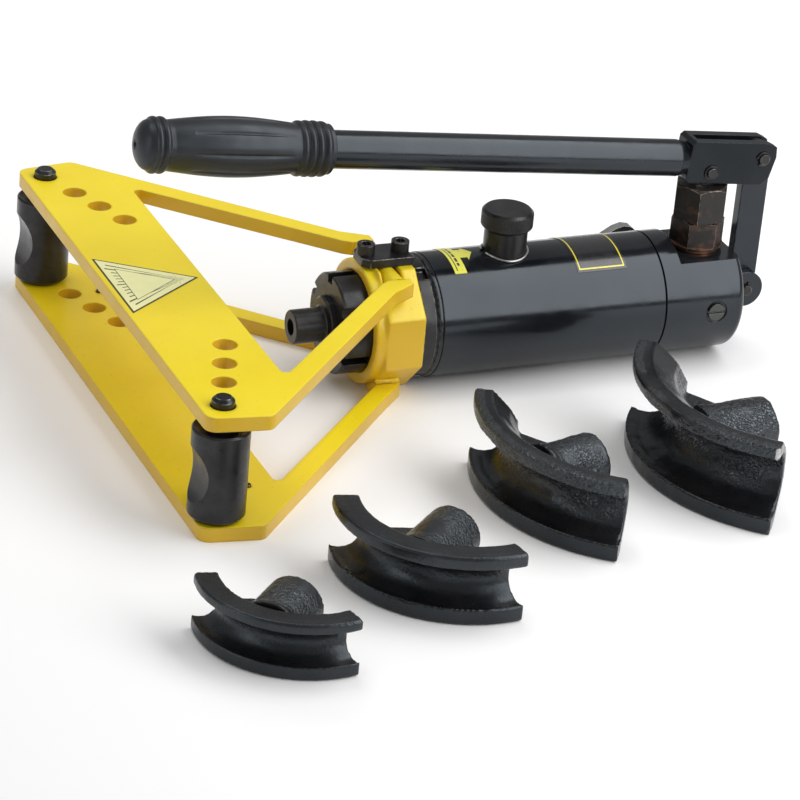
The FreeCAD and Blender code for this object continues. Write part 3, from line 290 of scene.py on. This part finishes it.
def bronzed_steel():
    """Dark oxide with brown blotches, more of them near the foot, rubbed to copper along edges."""
    kit = Finish("bronzed_steel")
    low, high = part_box("pump_lock_nut")
    more_at_foot = kit.span(kit.axis("Z"), low.z, high.z + 3 * MM, 0.12, -0.05)
    blotch = kit.span(kit.math("ADD", kit.noise(8, 5, 0.65), more_at_foot), 0.5, 0.76)
    colour = kit.mix(kit.edge(), kit.mix(blotch, *BRONZED), BRONZED_EDGE)
    normal = kit.bump(kit.noise(1.2, 4), 0.05, kit.bump(kit.noise(10, 2), 0.1, kit.rounded(0.7)))
    return kit.done(colour, kit.drift(0.3, 0.5, 5), normal, metallic=0.55, gloss=GLOSS)


def copper():
    """Copper with brown tarnish."""
    kit = Finish("copper")
    colour = kit.clouded(COPPER, 5, 5, 0.6)
    return kit.done(colour, kit.drift(0.28, 0.5, 3), kit.bump(kit.noise(0.9, 3), 0.03), metallic=0.95)


def rubber(name, colours, roughness):
    """Moulded rubber with a fine grain and dull, dusty clouds."""
    kit = Finish(name)
    rough = kit.drift(roughness - 0.06, roughness + 0.1, 10)
    normal = kit.bump(kit.noise(0.45, 2), 0.03, kit.bump(kit.noise(14, 2), 0.15))
    return kit.done(kit.clouded(colours, 30), rough, normal, gloss=GLOSS, tint=COOL)


def casting(name, roughness, grain, bare):
    """Black paint on cast iron: pitted grain millimetres deep where the corners say so, and chipped
    to grey along its ridges as far as bare says."""
    kit = Finish(name)
    ridge = kit.span(kit.add("NewGeometry").outputs["Pointiness"], 0.53, 0.6)
    chips = kit.math("MULTIPLY", kit.span(kit.noise(1.8, 4, 0.7), 0.5, 0.62), ridge)
    chips = kit.math("MULTIPLY", chips, bare)
    colour = kit.mix(chips, kit.clouded(CASTING_BLACK, 22), CHIPPED_IRON)
    colour = kit.mix(kit.marked("scrape"), colour, SCRAPED_IRON)
    rough = kit.drift(roughness, roughness + 0.12, 8)
    rough = kit.math("ADD", rough, kit.math("MULTIPLY", chips, 0.3))
    rough_spot = kit.marked("rough")
    pits = kit.span(kit.noise(1.7, 2, 0.6), 0.4, 0.6)
    normal = kit.bump(kit.noise(8, 3), 0.35)
    normal = kit.bump(kit.math("MULTIPLY", pits, rough_spot), grain, normal)
    normal = kit.bump(kit.noise(0.9, 2), 0.03, normal)
    gloss = kit.span(rough_spot, 0, 1, GLOSS, 2 * GLOSS)
    return kit.done(colour, rough, normal, gloss=gloss, tint=COOL)


def inside(kit, value, low, high):
    """1 where value is between low and high."""
    return kit.math("MULTIPLY", kit.math("GREATER_THAN", value, low), kit.math("LESS_THAN", value, high))


def printed(kit, ink_share, paper, ink, roughness, coat, coat_roughness):
    """Printed film: ink over paper that is faded unevenly, under a clear coat."""
    faded = kit.mix(kit.drift(0.0, 0.25, 7), paper, rgb(*(0.8 * part for part in paper[:3])))
    colour = kit.mix(ink_share, faded, ink)
    normal = kit.bump(kit.noise(4, 2), 0.05)
    return kit.done(colour, kit.drift(roughness, roughness + 0.1, 6, 3), normal,
                    coat=coat, coat_roughness=coat_roughness)


def framed(kit, node, border, inset):
    """1 on a band of the given width, inset from the node's straight sides, in millimetres."""
    low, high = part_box(node)
    middle = (low + high) / 2
    reach = (high - low) / 2
    across = []
    for letter, place, half in (("X", middle.x, reach.x), ("Y", middle.y, reach.y)):
        offset = kit.math("ABSOLUTE", kit.math("SUBTRACT", kit.axis(letter), place))
        across.append(kit.math("SUBTRACT", half, offset))
    distance = kit.math("MINIMUM", *across)
    return inside(kit, distance, inset * MM, (inset + border) * MM)


def plate_print():
    """Black plate with a thin yellow line round it."""
    kit = Finish("plate_print")
    line = framed(kit, "plate_label", 0.7, 1.2)
    return printed(kit, line, BLACK_PLATE, YELLOW_INK, 0.24, coat=0.5, coat_roughness=0.1)


def arrow_print():
    """Yellow arrow with a thin dark line along its base and a row of dark bars beside the line."""
    kit = Finish("arrow_print")
    low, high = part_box("arrow_label")
    line_start, line_end = 1.6 * MM, 2.2 * MM
    bar_start, bar_end = 3.2 * MM, 4.6 * MM
    bar_pitch, bar_gap, bar_margin = 2.2 * MM, 0.5 * MM, 5 * MM
    from_base = kit.math("SUBTRACT", kit.axis("X"), low.x)
    side = kit.math("ABSOLUTE", kit.axis("Y"))
    line = kit.math("MULTIPLY", inside(kit, from_base, line_start, line_end),
                    kit.math("LESS_THAN", side, high.y - line_start))
    bars = kit.math("MULTIPLY", inside(kit, from_base, bar_start, bar_end),
                    inside(kit, kit.math("PINGPONG", side, bar_pitch), bar_gap, bar_pitch))
    bars = kit.math("MULTIPLY", bars, kit.math("LESS_THAN", side, high.y - bar_margin))
    ink = kit.math("MAXIMUM", line, bars)
    return printed(kit, ink, ARROW_YELLOW, DARK_INK, 0.26, coat=0.4, coat_roughness=0.12)


def scale_print():
    """Pale triangle with a dark border, an inner line and a row of tick marks of two lengths."""
    kit = Finish("scale_print")
    low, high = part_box("scale_label")
    border, inner_start, inner_end = 0.9 * MM, 7.5 * MM, 7.9 * MM
    fan_back = 9 * MM
    slope = (high.x - low.x) / high.y
    lean = math.hypot(1, slope)
    side = kit.math("ABSOLUTE", kit.axis("Y"))
    to_front = kit.math("SUBTRACT", kit.axis("X"), low.x)
    to_slope = kit.math("ADD", kit.axis("X"), kit.math("MULTIPLY", side, slope))
    to_slope = kit.math("DIVIDE", kit.math("SUBTRACT", high.x, to_slope), lean)
    distance = kit.math("MINIMUM", to_front, to_slope)
    angle = kit.math("ARCTAN2", kit.math("SUBTRACT", high.x - fan_back, kit.axis("X")), kit.axis("Y"))

    def ticks(pitch, half_width, start):
        """Marks every pitch degrees that run from start millimetres inside to the inner line."""
        beat = kit.math("PINGPONG", angle, math.radians(pitch))
        return kit.math("MULTIPLY", kit.math("LESS_THAN", beat, half_width),
                        inside(kit, distance, start * MM, inner_start))

    ink = kit.math("MAXIMUM", kit.math("LESS_THAN", distance, border),
                   inside(kit, distance, inner_start, inner_end))
    for marks in (ticks(3, 0.012, 4.4), ticks(15, 0.014, 2.6)):
        ink = kit.math("MAXIMUM", ink, marks)
    return printed(kit, ink, SCALE_YELLOW, DARK_INK, 0.3, coat=0.3, coat_roughness=0.2)


def make_materials():
    """One material for each slot of the record."""
    tank_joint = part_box("reservoir_tube")[1].x
    return {
        "wing_paint": wing_paint(),
        "tank_paint": black_gloss("tank_paint", worn=0.25, roughness=0.1, peel=0.015, seam=tank_joint),
        "handle_paint": black_gloss("handle_paint", worn=0.35, roughness=0.16, peel=0.04),
        "black_steel": turned_steel("black_steel", BLACK_OXIDE, roughness=0.3, metallic=0.6, wear=0.45),
        "bright_steel": turned_steel("bright_steel", BARE_STEEL, roughness=0.26, metallic=0.95, wear=0.6),
        "bronzed_steel": bronzed_steel(),
        "copper": copper(),
        "seal_rubber": rubber("seal_rubber", SEAL_BLACK, roughness=0.5),
        "grip_rubber": rubber("grip_rubber", GRIP_BLACK, roughness=0.34),
        "smooth_casting": casting("smooth_casting", roughness=0.24, grain=0.45, bare=0.5),
        "rough_casting": casting("rough_casting", roughness=0.17, grain=0.75, bare=0.9),
        "arrow_print": arrow_print(),
        "plate_print": plate_print(),
        "scale_print": scale_print(),
    }


# ---- mesh kit ----------------------------------------------------------------------------------

def merged(node):
    """The node's CAD mesh with its split corners joined and its flat faces whole."""
    mesh = bmesh.new()
    mesh.from_mesh(NODES[node].data)
    bmesh.ops.remove_doubles(mesh, verts=mesh.verts, dist=2e-6)
    bmesh.ops.dissolve_limit(mesh, angle_limit=math.radians(0.6), verts=mesh.verts, edges=mesh.edges)
    return mesh


def piece_from(mesh, name, node, smooth_below=35):
    """A visible piece made of mesh. It replaces a CAD node and takes its body and finish."""
    data = bpy.data.meshes.new(name)
    mesh.to_mesh(data)
    mesh.free()
    piece = bpy.data.objects.new(name, data)
    bpy.context.scene.collection.objects.link(piece)
    data.materials.append(MATERIALS[SLOT_OF[node]])
    data.shade_smooth()
    if smooth_below:
        data.set_sharp_from_angle(angle=math.radians(smooth_below))
        piece.modifiers.new("even_shading", "WEIGHTED_NORMAL").keep_sharp = True
    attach(piece, BODY_OF[node])
    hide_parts(node)
    return piece


def softened(node, width, dullness=0.0):
    """The node's shape with its sharp edges rounded and marked, and all its faces marked dull."""
    mesh = merged(node)
    dull = mesh.faces.layers.float.new("dull")
    rounded = mesh.faces.layers.float.new("edge")
    sharp = [edge for edge in mesh.edges
             if len(edge.link_faces) == 2 and edge.calc_face_angle(0) > math.radians(28)]
    result = bmesh.ops.bevel(mesh, geom=sharp, offset=width * MM, offset_type="OFFSET",
                             segments=2, profile=0.5, affect="EDGES", clamp_overlap=True)
    for face in mesh.faces:
        face[dull] = dullness
    for face in result["faces"]:
        if face.is_valid:
            face[rounded] = 1.0
    piece_from(mesh, node + "_soft", node)


def grown(node, voxel, smoothing):
    """The node's shape rebuilt from even faces about voxel millimetres wide, with softened edges."""
    blank = bpy.data.objects.new(node + "_blank", NODES[node].data.copy())
    bpy.context.scene.collection.objects.link(blank)
    remesh = blank.modifiers.new("even_faces", "REMESH")
    remesh.mode = "VOXEL"
    remesh.voxel_size = voxel * MM
    soften = blank.modifiers.new("soften", "SMOOTH")
    soften.iterations = smoothing
    built = bpy.data.meshes.new_from_object(blank.evaluated_get(bpy.context.evaluated_depsgraph_get()))
    mesh = bmesh.new()
    mesh.from_mesh(built)
    bpy.data.objects.remove(blank)
    mesh.normal_update()
    return mesh


def held_in(place, low, high):
    """Moves a corner's place back into a box."""
    for axis in range(3):
        place[axis] = min(max(place[axis], low[axis]), high[axis])


def cloud(place, size, seed=0):
    """Smooth noise from -1 to 1 at a place, with bumps about size millimetres wide."""
    return noise.noise(place / (size * MM) + Vector((seed, seed, seed)))


def turned_mesh(start, along, up, rings, around, radius_at):
    """Closed skin round a straight axis. rings lists distances along it; radius_at(distance, angle)
    gives the radius there, both lengths in millimetres. A radius of 0 closes an end."""
    along = along.normalized()
    side = up.cross(along).normalized()
    up = along.cross(side)
    mesh = bmesh.new()
    loops = []
    for distance in rings:
        centre = start + along * distance * MM
        if radius_at(distance, 0) == 0:
            loops.append([mesh.verts.new(centre)])
            continue
        loop = []
        for index in range(around):
            angle = 2 * math.pi * index / around
            reach = radius_at(distance, angle) * MM
            loop.append(mesh.verts.new(centre + (side * math.cos(angle) + up * math.sin(angle)) * reach))
        loops.append(loop)
    join_loops(mesh, loops)
    return mesh


def join_loops(mesh, loops):
    """Faces between neighbouring loops of corners; a loop of one corner closes an end."""
    for first, second in zip(loops, loops[1:]):
        count = max(len(first), len(second))
        for index in range(count):
            after = (index + 1) % count
            if len(first) == 1:
                mesh.faces.new((first[0], second[index], second[after]))
            elif len(second) == 1:
                mesh.faces.new((first[index], second[0], first[after]))
            else:
                mesh.faces.new((first[index], second[index], second[after], first[after]))
    bmesh.ops.recalc_face_normals(mesh, faces=mesh.faces)


def wire_mesh(points, radius, sides=10):
    """Round wire along points, closed at both ends; radius is in metres."""
    mesh = bmesh.new()
    loops = []
    for index, point in enumerate(points):
        before = points[max(index - 1, 0)]
        after = points[min(index + 1, len(points) - 1)]
        ahead = (after - before).normalized()
        side = ahead.cross(Vector((0, 0, 1))).normalized()
        up = ahead.cross(side)
        loops.append([mesh.verts.new(point + (side * math.cos(turn) + up * math.sin(turn)) * radius)
                      for turn in (2 * math.pi * step / sides for step in range(sides))])
    loops.insert(0, [mesh.verts.new(points[0])])
    loops.append([mesh.verts.new(points[-1])])
    join_loops(mesh, loops)
    return mesh


def end_centres(node):
    """Centres of the two end circles of a straight round tube, the lower X first."""
    points = [corner.co for corner in NODES[node].data.vertices]
    middle = sum(corner.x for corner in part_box(node)) / 2
    centres = []
    for ends in ([p for p in points if p.x < middle], [p for p in points if p.x >= middle]):
        centres.append(Vector([(min(p[i] for p in ends) + max(p[i] for p in ends)) / 2 for i in range(3)]))
    return centres


# ---- handle ------------------------------------------------------------------------------------

def make_grip():
    """Moulded grip: domed end with a vent hole, ribs at both ends, a swollen middle with creases.
    Lengths are in millimetres from the domed end."""
    tube_start, tube_end = end_centres("handle_tube")
    along = (tube_end - tube_start).normalized()
    dome_wall = 8
    start = tube_start - along * dome_wall * MM
    length, sleeve, dome = 109.5, 13.6, 7.4
    vent, vent_depth = 1.5, 2.5
    mouth, mouth_edge = 10.2, 12.2
    swell_start, swell_length, swell = 18, 70, 2.6
    ribs = [(9.4, 1.5), (13.4, 1.5), (91.4, 1.3), (95.7, 1.5), (100, 1.5), (104.5, 1.2)]
    rib_half = 1.9
    crease_start, crease_end = 28.5, 85.5
    creases = [math.radians(41 + 45 * index) for index in range(8)]
    cut_half, cut_depth = math.radians(4.5), 1.0
    slump_half, slump_depth = math.radians(19), 0.55

    def radius_at(distance, angle):
        if distance >= length:
            return mouth if distance > length else mouth_edge
        if distance <= 0:
            return 0 if distance < 0 else vent
        if distance < dome:
            return sleeve * math.sqrt(1 - (1 - distance / dome) ** 2 * 0.985)
        radius = sleeve
        if swell_start < distance < swell_start + swell_length:
            radius += swell * math.sin(math.pi * (distance - swell_start) / swell_length)
        for place, height in ribs:
            near = abs(distance - place) / rib_half
            if near < 1:
                radius += height * math.sqrt(1 - near ** 2)
        if crease_start < distance < crease_end:
            depth = math.sin(math.pi * (distance - crease_start) / (crease_end - crease_start)) ** 0.7
            for crease in creases:
                away = abs((angle - crease + math.pi) % (2 * math.pi) - math.pi)
                radius -= depth * max(0, 1 - away / cut_half) * cut_depth
                radius -= depth * max(0, 1 - away / slump_half) ** 2 * slump_depth
        return radius

    fine_start, pitch = 6.3, 0.42
    rings = [-1e-6, 0, 0.12, 0.35, 0.7, 1.2, 1.9, 2.8, 4, 5.2]
    rings += [fine_start + pitch * step for step in range(int((length - fine_start) / pitch))]
    rings += [length, length + 0.01]
    mesh = turned_mesh(start, along, Vector((0, 0, 1)), rings, 240, radius_at)
    for corner in mesh.verts:
        if (corner.co - start).dot(along) < -1e-10:
            corner.co += along * vent_depth * MM
    piece_from(mesh, "grip_moulding", "handle_grip", 0)


def make_snap_rings(node, gap):
    """Open retaining rings with an eye at each end, in place of a node's two plain rings; gap is
    the way that the opening faces, in degrees."""
    points = [corner.co for corner in NODES[node].data.vertices]
    low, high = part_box(node)
    middle = (low.y + high.y) / 2
    width, play, recess = 1.6 * MM, 0.02 * MM, 0.35 * MM
    half_gap, eye_share, steps = 28, 0.07, 40
    mesh = bmesh.new()
    for ring in ([p for p in points if p.y < middle], [p for p in points if p.y >= middle]):
        corner = Vector([min(p[i] for p in ring) for i in range(3)])
        opposite = Vector([max(p[i] for p in ring) for i in range(3)])
        centre = (corner + opposite) / 2
        outer = (opposite.x - corner.x) / 2
        inner = outer - width
        thick = (opposite.y - corner.y) * 0.9
        loops = []
        for step in range(steps + 1):
            share = step / steps
            angle = math.radians(gap + half_gap + (360 - 2 * half_gap) * share)
            eye = max(0, 1 - min(share, 1 - share) / eye_share)
            reach = (inner + play, outer - recess + recess * eye)
            ray = Vector((math.cos(angle), 0, math.sin(angle)))
            loops.append([mesh.verts.new(centre + ray * radius + Vector((0, lift * thick / 2, 0)))
                          for radius, lift in ((reach[0], -1), (reach[1], -1), (reach[1], 1), (reach[0], 1))])
        mesh.faces.new(loops[0])
        mesh.faces.new(list(reversed(loops[-1])))
        join_loops(mesh, loops)
    edges = [edge for edge in mesh.edges if edge.calc_face_angle(0) > math.radians(40)]
    bmesh.ops.bevel(mesh, geom=edges, offset=0.12 * MM, segments=2, profile=0.5, affect="EDGES")
    piece_from(mesh, node + "_open", node)


# ---- filler ------------------------------------------------------------------------------------

def make_filler_cap():
    """Knurled cap: a pattern of fine diamonds between two chamfers. Lengths are in millimetres."""
    low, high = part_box("filler_cap")
    centre = (low + high) / 2
    knob = (high.y - low.y) / 2 / MM
    bottom, top = 83.2, high.z / MM
    lower_chamfer, upper_chamfer = 1.3, 1.5
    knurl_start, knurl_end = bottom + 1.2, top - 1.3
    teeth, pitch, tooth = 54, 1.7, 0.42
    steps, sliver = 62, 0.01

    def radius_at(height, angle):
        if height <= bottom - sliver or height >= top + sliver:
            return 0
        radius = knob - 0.25
        radius -= max(0, bottom + lower_chamfer - height) * 0.9
        radius -= max(0, height - top + upper_chamfer)
        if knurl_start < height < knurl_end:
            first = (angle * teeth / (2 * math.pi) + height / pitch) % 1
            second = (angle * teeth / (2 * math.pi) - height / pitch) % 1
            radius += 0.24 - tooth * max(abs(2 * first - 1), abs(2 * second - 1))
        return radius

    rings = [bottom - sliver, bottom + 1e-6]
    rings += [bottom + (top - bottom) * step / steps for step in range(1, steps)]
    rings += [top - 0.12, top, top + sliver]
    start = Vector((centre.x, centre.y, 0))
    mesh = turned_mesh(start, Vector((0, 0, 1)), Vector((0, 1, 0)), rings, 432, radius_at)
    for corner in mesh.verts:
        corner.co.z = min(corner.co.z, top * MM)
    piece_from(mesh, "filler_cap_knurled", "filler_cap", 35)


def make_filler_wire():
    """Bright open wire ring round the filler neck, lying on the round of the tank."""
    low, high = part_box("filler_washer")
    centre = (low + high) / 2
    tank_low, tank_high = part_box("reservoir_tube")
    tank_radius = (tank_high.y - tank_low.y) / 2
    axis_height = (tank_high.z + tank_low.z) / 2
    wire = 0.75 * MM
    ring = (high.y - low.y) / 2 - 0.1 * MM
    first_angle, sweep, steps = 200, 334, 64
    points = []
    for step in range(steps + 1):
        angle = math.radians(first_angle + sweep * step / steps)
        across = ring * math.sin(angle)
        rise = axis_height + math.sqrt((tank_radius + wire) ** 2 - across ** 2)
        points.append(Vector((centre.x + ring * math.cos(angle), across, rise)))
    points[0] += Vector((-1.5, 0, 0.5)) * MM
    points[-1] += Vector((-1.2, 0, 0.8)) * MM
    piece_from(wire_mesh(points, wire), "filler_wire", "filler_washer", 0)


# ---- castings, welds and ram -------------------------------------------------------------------

def arc_of(node, axis):
    """Centre, flange radius and inner radius of a former's arc; axis points from it to its hub."""
    side = Vector((-axis.y, axis.x, 0))
    points = [corner.co for corner in NODES[node].data.vertices]
    front = min(point.dot(axis) for point in points)
    tip = max(points, key=lambda point: point.dot(side))
    other = min(points, key=lambda point: point.dot(side))
    middle = (tip.dot(side) + other.dot(side)) / 2
    back = tip.dot(axis) - front
    half = tip.dot(side) - middle
    radius = (back ** 2 + half ** 2) / (2 * back)
    centre = axis * (front + radius) + side * middle
    near_tip = [math.hypot(point.x - centre.x, point.y - centre.y) for point in points
                if point.dot(side) > middle + 0.93 * half * (radius - 0.02) / radius]
    return centre, radius, min(near_tip)


def make_former(key, voxel, lumps, pitted, scraped=0.0):
    """Cast former with soft edges, an uneven skin whose lumps stand lumps millimetres, and pitted
    patches; scraped is how far the paint is knocked off the upper flange at its near end."""
    node = f"former_{key}_inch"
    mount = next(item for item in MOUNTS if item["name"] == f"{key}_former_socket")
    axis = Vector(mount["axis"])
    side = Vector((-axis.y, axis.x, 0))
    socket = Vector(mount["pos_m"])
    centre, flange, inner = arc_of(node, axis)
    low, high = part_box(node)
    middle = (low.z + high.z) / 2
    half = (high.z - low.z) / 2
    near_end = min(corner.co.dot(side) for corner in NODES[node].data.vertices)
    rim_width, scrape_width, scrape_length = 5 * MM, 7 * MM, 1.6 * MM
    hub_inside, socket_wall, floor_skin = 11 * MM, 10.5 * MM, 1.2 * MM
    mesh = grown(node, voxel, 2)
    rough_layer = mesh.verts.layers.float.new("rough")
    scrape_layer = mesh.verts.layers.float.new("scrape")
    seed = len(key)
    for corner in mesh.verts:
        place = corner.co
        normal = corner.normal.copy()
        out = Vector((place.x - centre.x, place.y - centre.y, 0))
        reach = out.length
        rise = abs(place.z - middle)
        from_axis = (place - socket).cross(axis).length
        in_arc = reach > inner - 0.6 * MM
        facing_groove = in_arc and rise < half * 0.5 and normal.dot(out) > 0
        groove = pitted * max(0, 1 - rise / (half * 0.5)) if facing_groove else 0
        on_rim = place.z > middle + half * 0.5 and reach > flange - rim_width
        rim = 0.8 * pitted if on_rim else 0
        on_hub_top = from_axis > hub_inside and not in_arc and place.z > middle
        hub_top = 0.35 + 0.65 * (place.z - middle) / from_axis if on_hub_top else 0
        patch = min(1, max(0, 1.1 + 2 * cloud(place, 20, seed)))
        rough = max(groove, rim, hub_top) * patch
        corner[rough_layer] = rough
        inside_socket = not in_arc and from_axis < socket_wall
        if not inside_socket and place.z > floor_skin:
            lump = cloud(place, 11, seed) * lumps + cloud(place, 2.6, seed) * rough * 0.34
            place += normal * lump * MM
        knock = cloud(place, 3, seed) + (place.z - middle) / half
        at_end = place.dot(side) - near_end < scrape_length and reach > flange - scrape_width
        corner[scrape_layer] = scraped if at_end and knock > 0.45 else 0
        held_in(place, low, high)
    piece_from(mesh, f"casting_{key}", node, 0)


def make_weld_beads():
    """Welds between the collar and the struts: lumpy beads under the paint."""
    mesh = grown("strut_welds", 0.5, 4)
    for corner in mesh.verts:
        corner.co += corner.normal * (cloud(corner.co, 4.5) * 0.9 + cloud(corner.co, 1.8) * 0.3) * MM
    piece_from(mesh, "weld_beads", "strut_welds", 0)


def make_collar():
    """Collar with the well rounded edges of a painted casting."""
    low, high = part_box("collar")
    mesh = grown("collar", 0.7, 9)
    for corner in mesh.verts:
        held_in(corner.co, low, high)
    piece_from(mesh, "collar_cast", "collar", 0)


def make_ram():
    """Ram whose nose has a flat end and a straight bore, with no countersink."""
    low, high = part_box("ram")
    middle = (low + high) / 2
    bore, bore_depth, countersink = 4.7 * MM, 12.5 * MM, 8.8 * MM
    mesh = merged("ram")
    for corner in mesh.verts:
        out = Vector((0, corner.co.y - middle.y, corner.co.z - middle.z))
        if corner.co.x < low.x + bore_depth and 1 * MM < out.length < countersink:
            corner.co.y = middle.y + out.y * bore / out.length
            corner.co.z = middle.z + out.z * bore / out.length
    piece_from(mesh, "ram_bored", "ram")


def make_spring():
    """Return spring, as a piece with a mesh of its own."""
    piece = piece_from(merged("return_spring"), "coiled_spring", "return_spring", 0)
    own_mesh(piece)


# ---- stage -------------------------------------------------------------------------------------

def make_stage():
    """Pale floor that runs out of the camera's view."""
    data = bpy.data.meshes.new("floor")
    reach = 6.0
    data.from_pydata([(-reach, -reach, 0), (reach, -reach, 0), (reach, reach, 0), (-reach, reach, 0)],
                     [], [(0, 1, 2, 3)])
    floor = bpy.data.objects.new("floor", data)
    bpy.context.scene.collection.objects.link(floor)
    kit = Finish("floor_paper")
    data.materials.append(kit.done(kit.mix(kit.noise(900, 2), *FLOOR_WHITE), 0.7))


def make_world():
    """Even, dim white light from all round."""
    world = bpy.data.worlds.new("studio")
    bpy.context.scene.world = world
    world.use_nodes = True
    background = world.node_tree.nodes["Background"]
    background.inputs["Color"].default_value = rgb(1.0, 1.0, 1.0)
    background.inputs["Strength"].default_value = 0.34


def area_light(name, place, size, glow, upright=(0, 0, 1), target=(0.2, 0, 0.04), in_gloss=True):
    """Soft box of (width, height) that shines on target; glow is its brightness, 1 for white, and
    in_gloss says whether glossy surfaces mirror it."""
    data = bpy.data.lights.new(name, "AREA")
    data.shape = "RECTANGLE"
    data.size, data.size_y = size
    data.energy = glow * math.pi * data.size * data.size_y
    light = bpy.data.objects.new(name, data)
    back = (Vector(place) - Vector(target)).normalized()
    right = Vector(upright).cross(back).normalized()
    turn = Matrix((right, back.cross(right), back)).transposed().to_4x4()
    light.matrix_world = Matrix.Translation(place) @ turn
    light.visible_camera = False
    light.visible_glossy = in_gloss
    bpy.context.scene.collection.objects.link(light)


def make_lights():
    """One long box leans over the tank, from above its back to low in front of it; the others fill
    in from above, from the left and over the floor behind the tool."""
    area_light("long_box", (0.76, -0.46, 0.81), (0.65, 2.1), glow=3.6, upright=(0, 0.882, 0.471))
    area_light("overhead", (-0.3, 0.5, 1.9), (1.2, 1.0), glow=1.9)
    area_light("left_box", (-1.6, -0.3, 0.6), (0.8, 1.2), glow=1.5)
    area_light("backdrop_box", (0.1, 1.0, 0.9), (1.2, 0.5), glow=1.9, target=(0.1, 0.6, 0),
               in_gloss=False)


def make_camera():
    """Long lens from the front left and above, turned a little about its own axis."""
    azimuth, elevation, roll = (math.radians(angle) for angle in (-24.7466, 26.3234, 5.2256))
    target = Vector((0.199163, 0.078640, -0.059906))
    distance = 2.2186
    data = bpy.data.cameras.new("camera")
    data.lens = 172.5
    data.sensor_width = 36
    data.clip_end = 20
    camera = bpy.data.objects.new("camera", data)
    back = Vector((math.sin(azimuth) * math.cos(elevation), -math.cos(azimuth) * math.cos(elevation),
                   math.sin(elevation)))
    level = Vector((math.cos(azimuth), math.sin(azimuth), 0))
    rise = back.cross(level)
    right = math.cos(roll) * level + math.sin(roll) * rise
    up = math.cos(roll) * rise - math.sin(roll) * level
    turn = Matrix((right, up, back)).transposed().to_4x4()
    camera.matrix_world = Matrix.Translation(target + distance * back) @ turn
    bpy.context.scene.collection.objects.link(camera)
    bpy.context.scene.camera = camera


# ---- build -------------------------------------------------------------------------------------

# how far each node's sharp edges are rounded, in millimetres
SOFT_EDGES = {
    "upper_wing": 1.0, "lower_wing": 1.0,
    "front_nut": 0.7, "lock_ring": 0.6, "clamp_plate": 0.4, "clamp_screws": 0.4, "foot_screws": 0.3,
    "reservoir_front_cap": 0.5, "pump_base": 0.8, "filler_neck": 0.4,
    "link": 0.6, "pump_lock_nut": 0.4, "pump_barrel": 0.4, "copper_washer": 0.3,
    "plunger": 0.3, "release_lever": 0.5,
    "plunger_pin": 0.3, "link_top_pin": 0.3, "link_foot_pin": 0.3,
    "near_roller": 0.5, "far_roller": 0.5, "near_roller_pin": 0.3, "far_roller_pin": 0.3,
}
# the way that each pair of retaining rings opens, in degrees up from +X
RING_GAPS = {"plunger_pin_clips": 20, "link_top_pin_clips": 200, "link_foot_pin_clips": 110}
FORMERS = {
    "three_eighth": {"voxel": 0.8, "lumps": 0.12, "pitted": 0.15},
    "half": {"voxel": 0.9, "lumps": 0.14, "pitted": 0.2},
    "three_quarter": {"voxel": 1.0, "lumps": 0.25, "pitted": 1.0},
    "one": {"voxel": 1.0, "lumps": 0.28, "pitted": 1.0, "scraped": 1.0},
}

make_camera()
make_stage()
make_world()
make_lights()
bpy.context.scene.view_settings.view_transform = "Standard"
MATERIALS = make_materials()
for name, node in NODES.items():
    node.data.materials.clear()
    node.data.materials.append(MATERIALS[SLOT_OF[name]])

for name, width in SOFT_EDGES.items():
    softened(name, width)
softened("handle_fork", 0.7, dullness=0.5)
softened("relief_plug", 0.2, dullness=1.0)
make_grip()
for name, gap in RING_GAPS.items():
    make_snap_rings(name, gap)
make_filler_cap()
make_filler_wire()
make_collar()
make_ram()
make_spring()
make_weld_beads()
for key, looks in FORMERS.items():
    make_former(key, **looks)
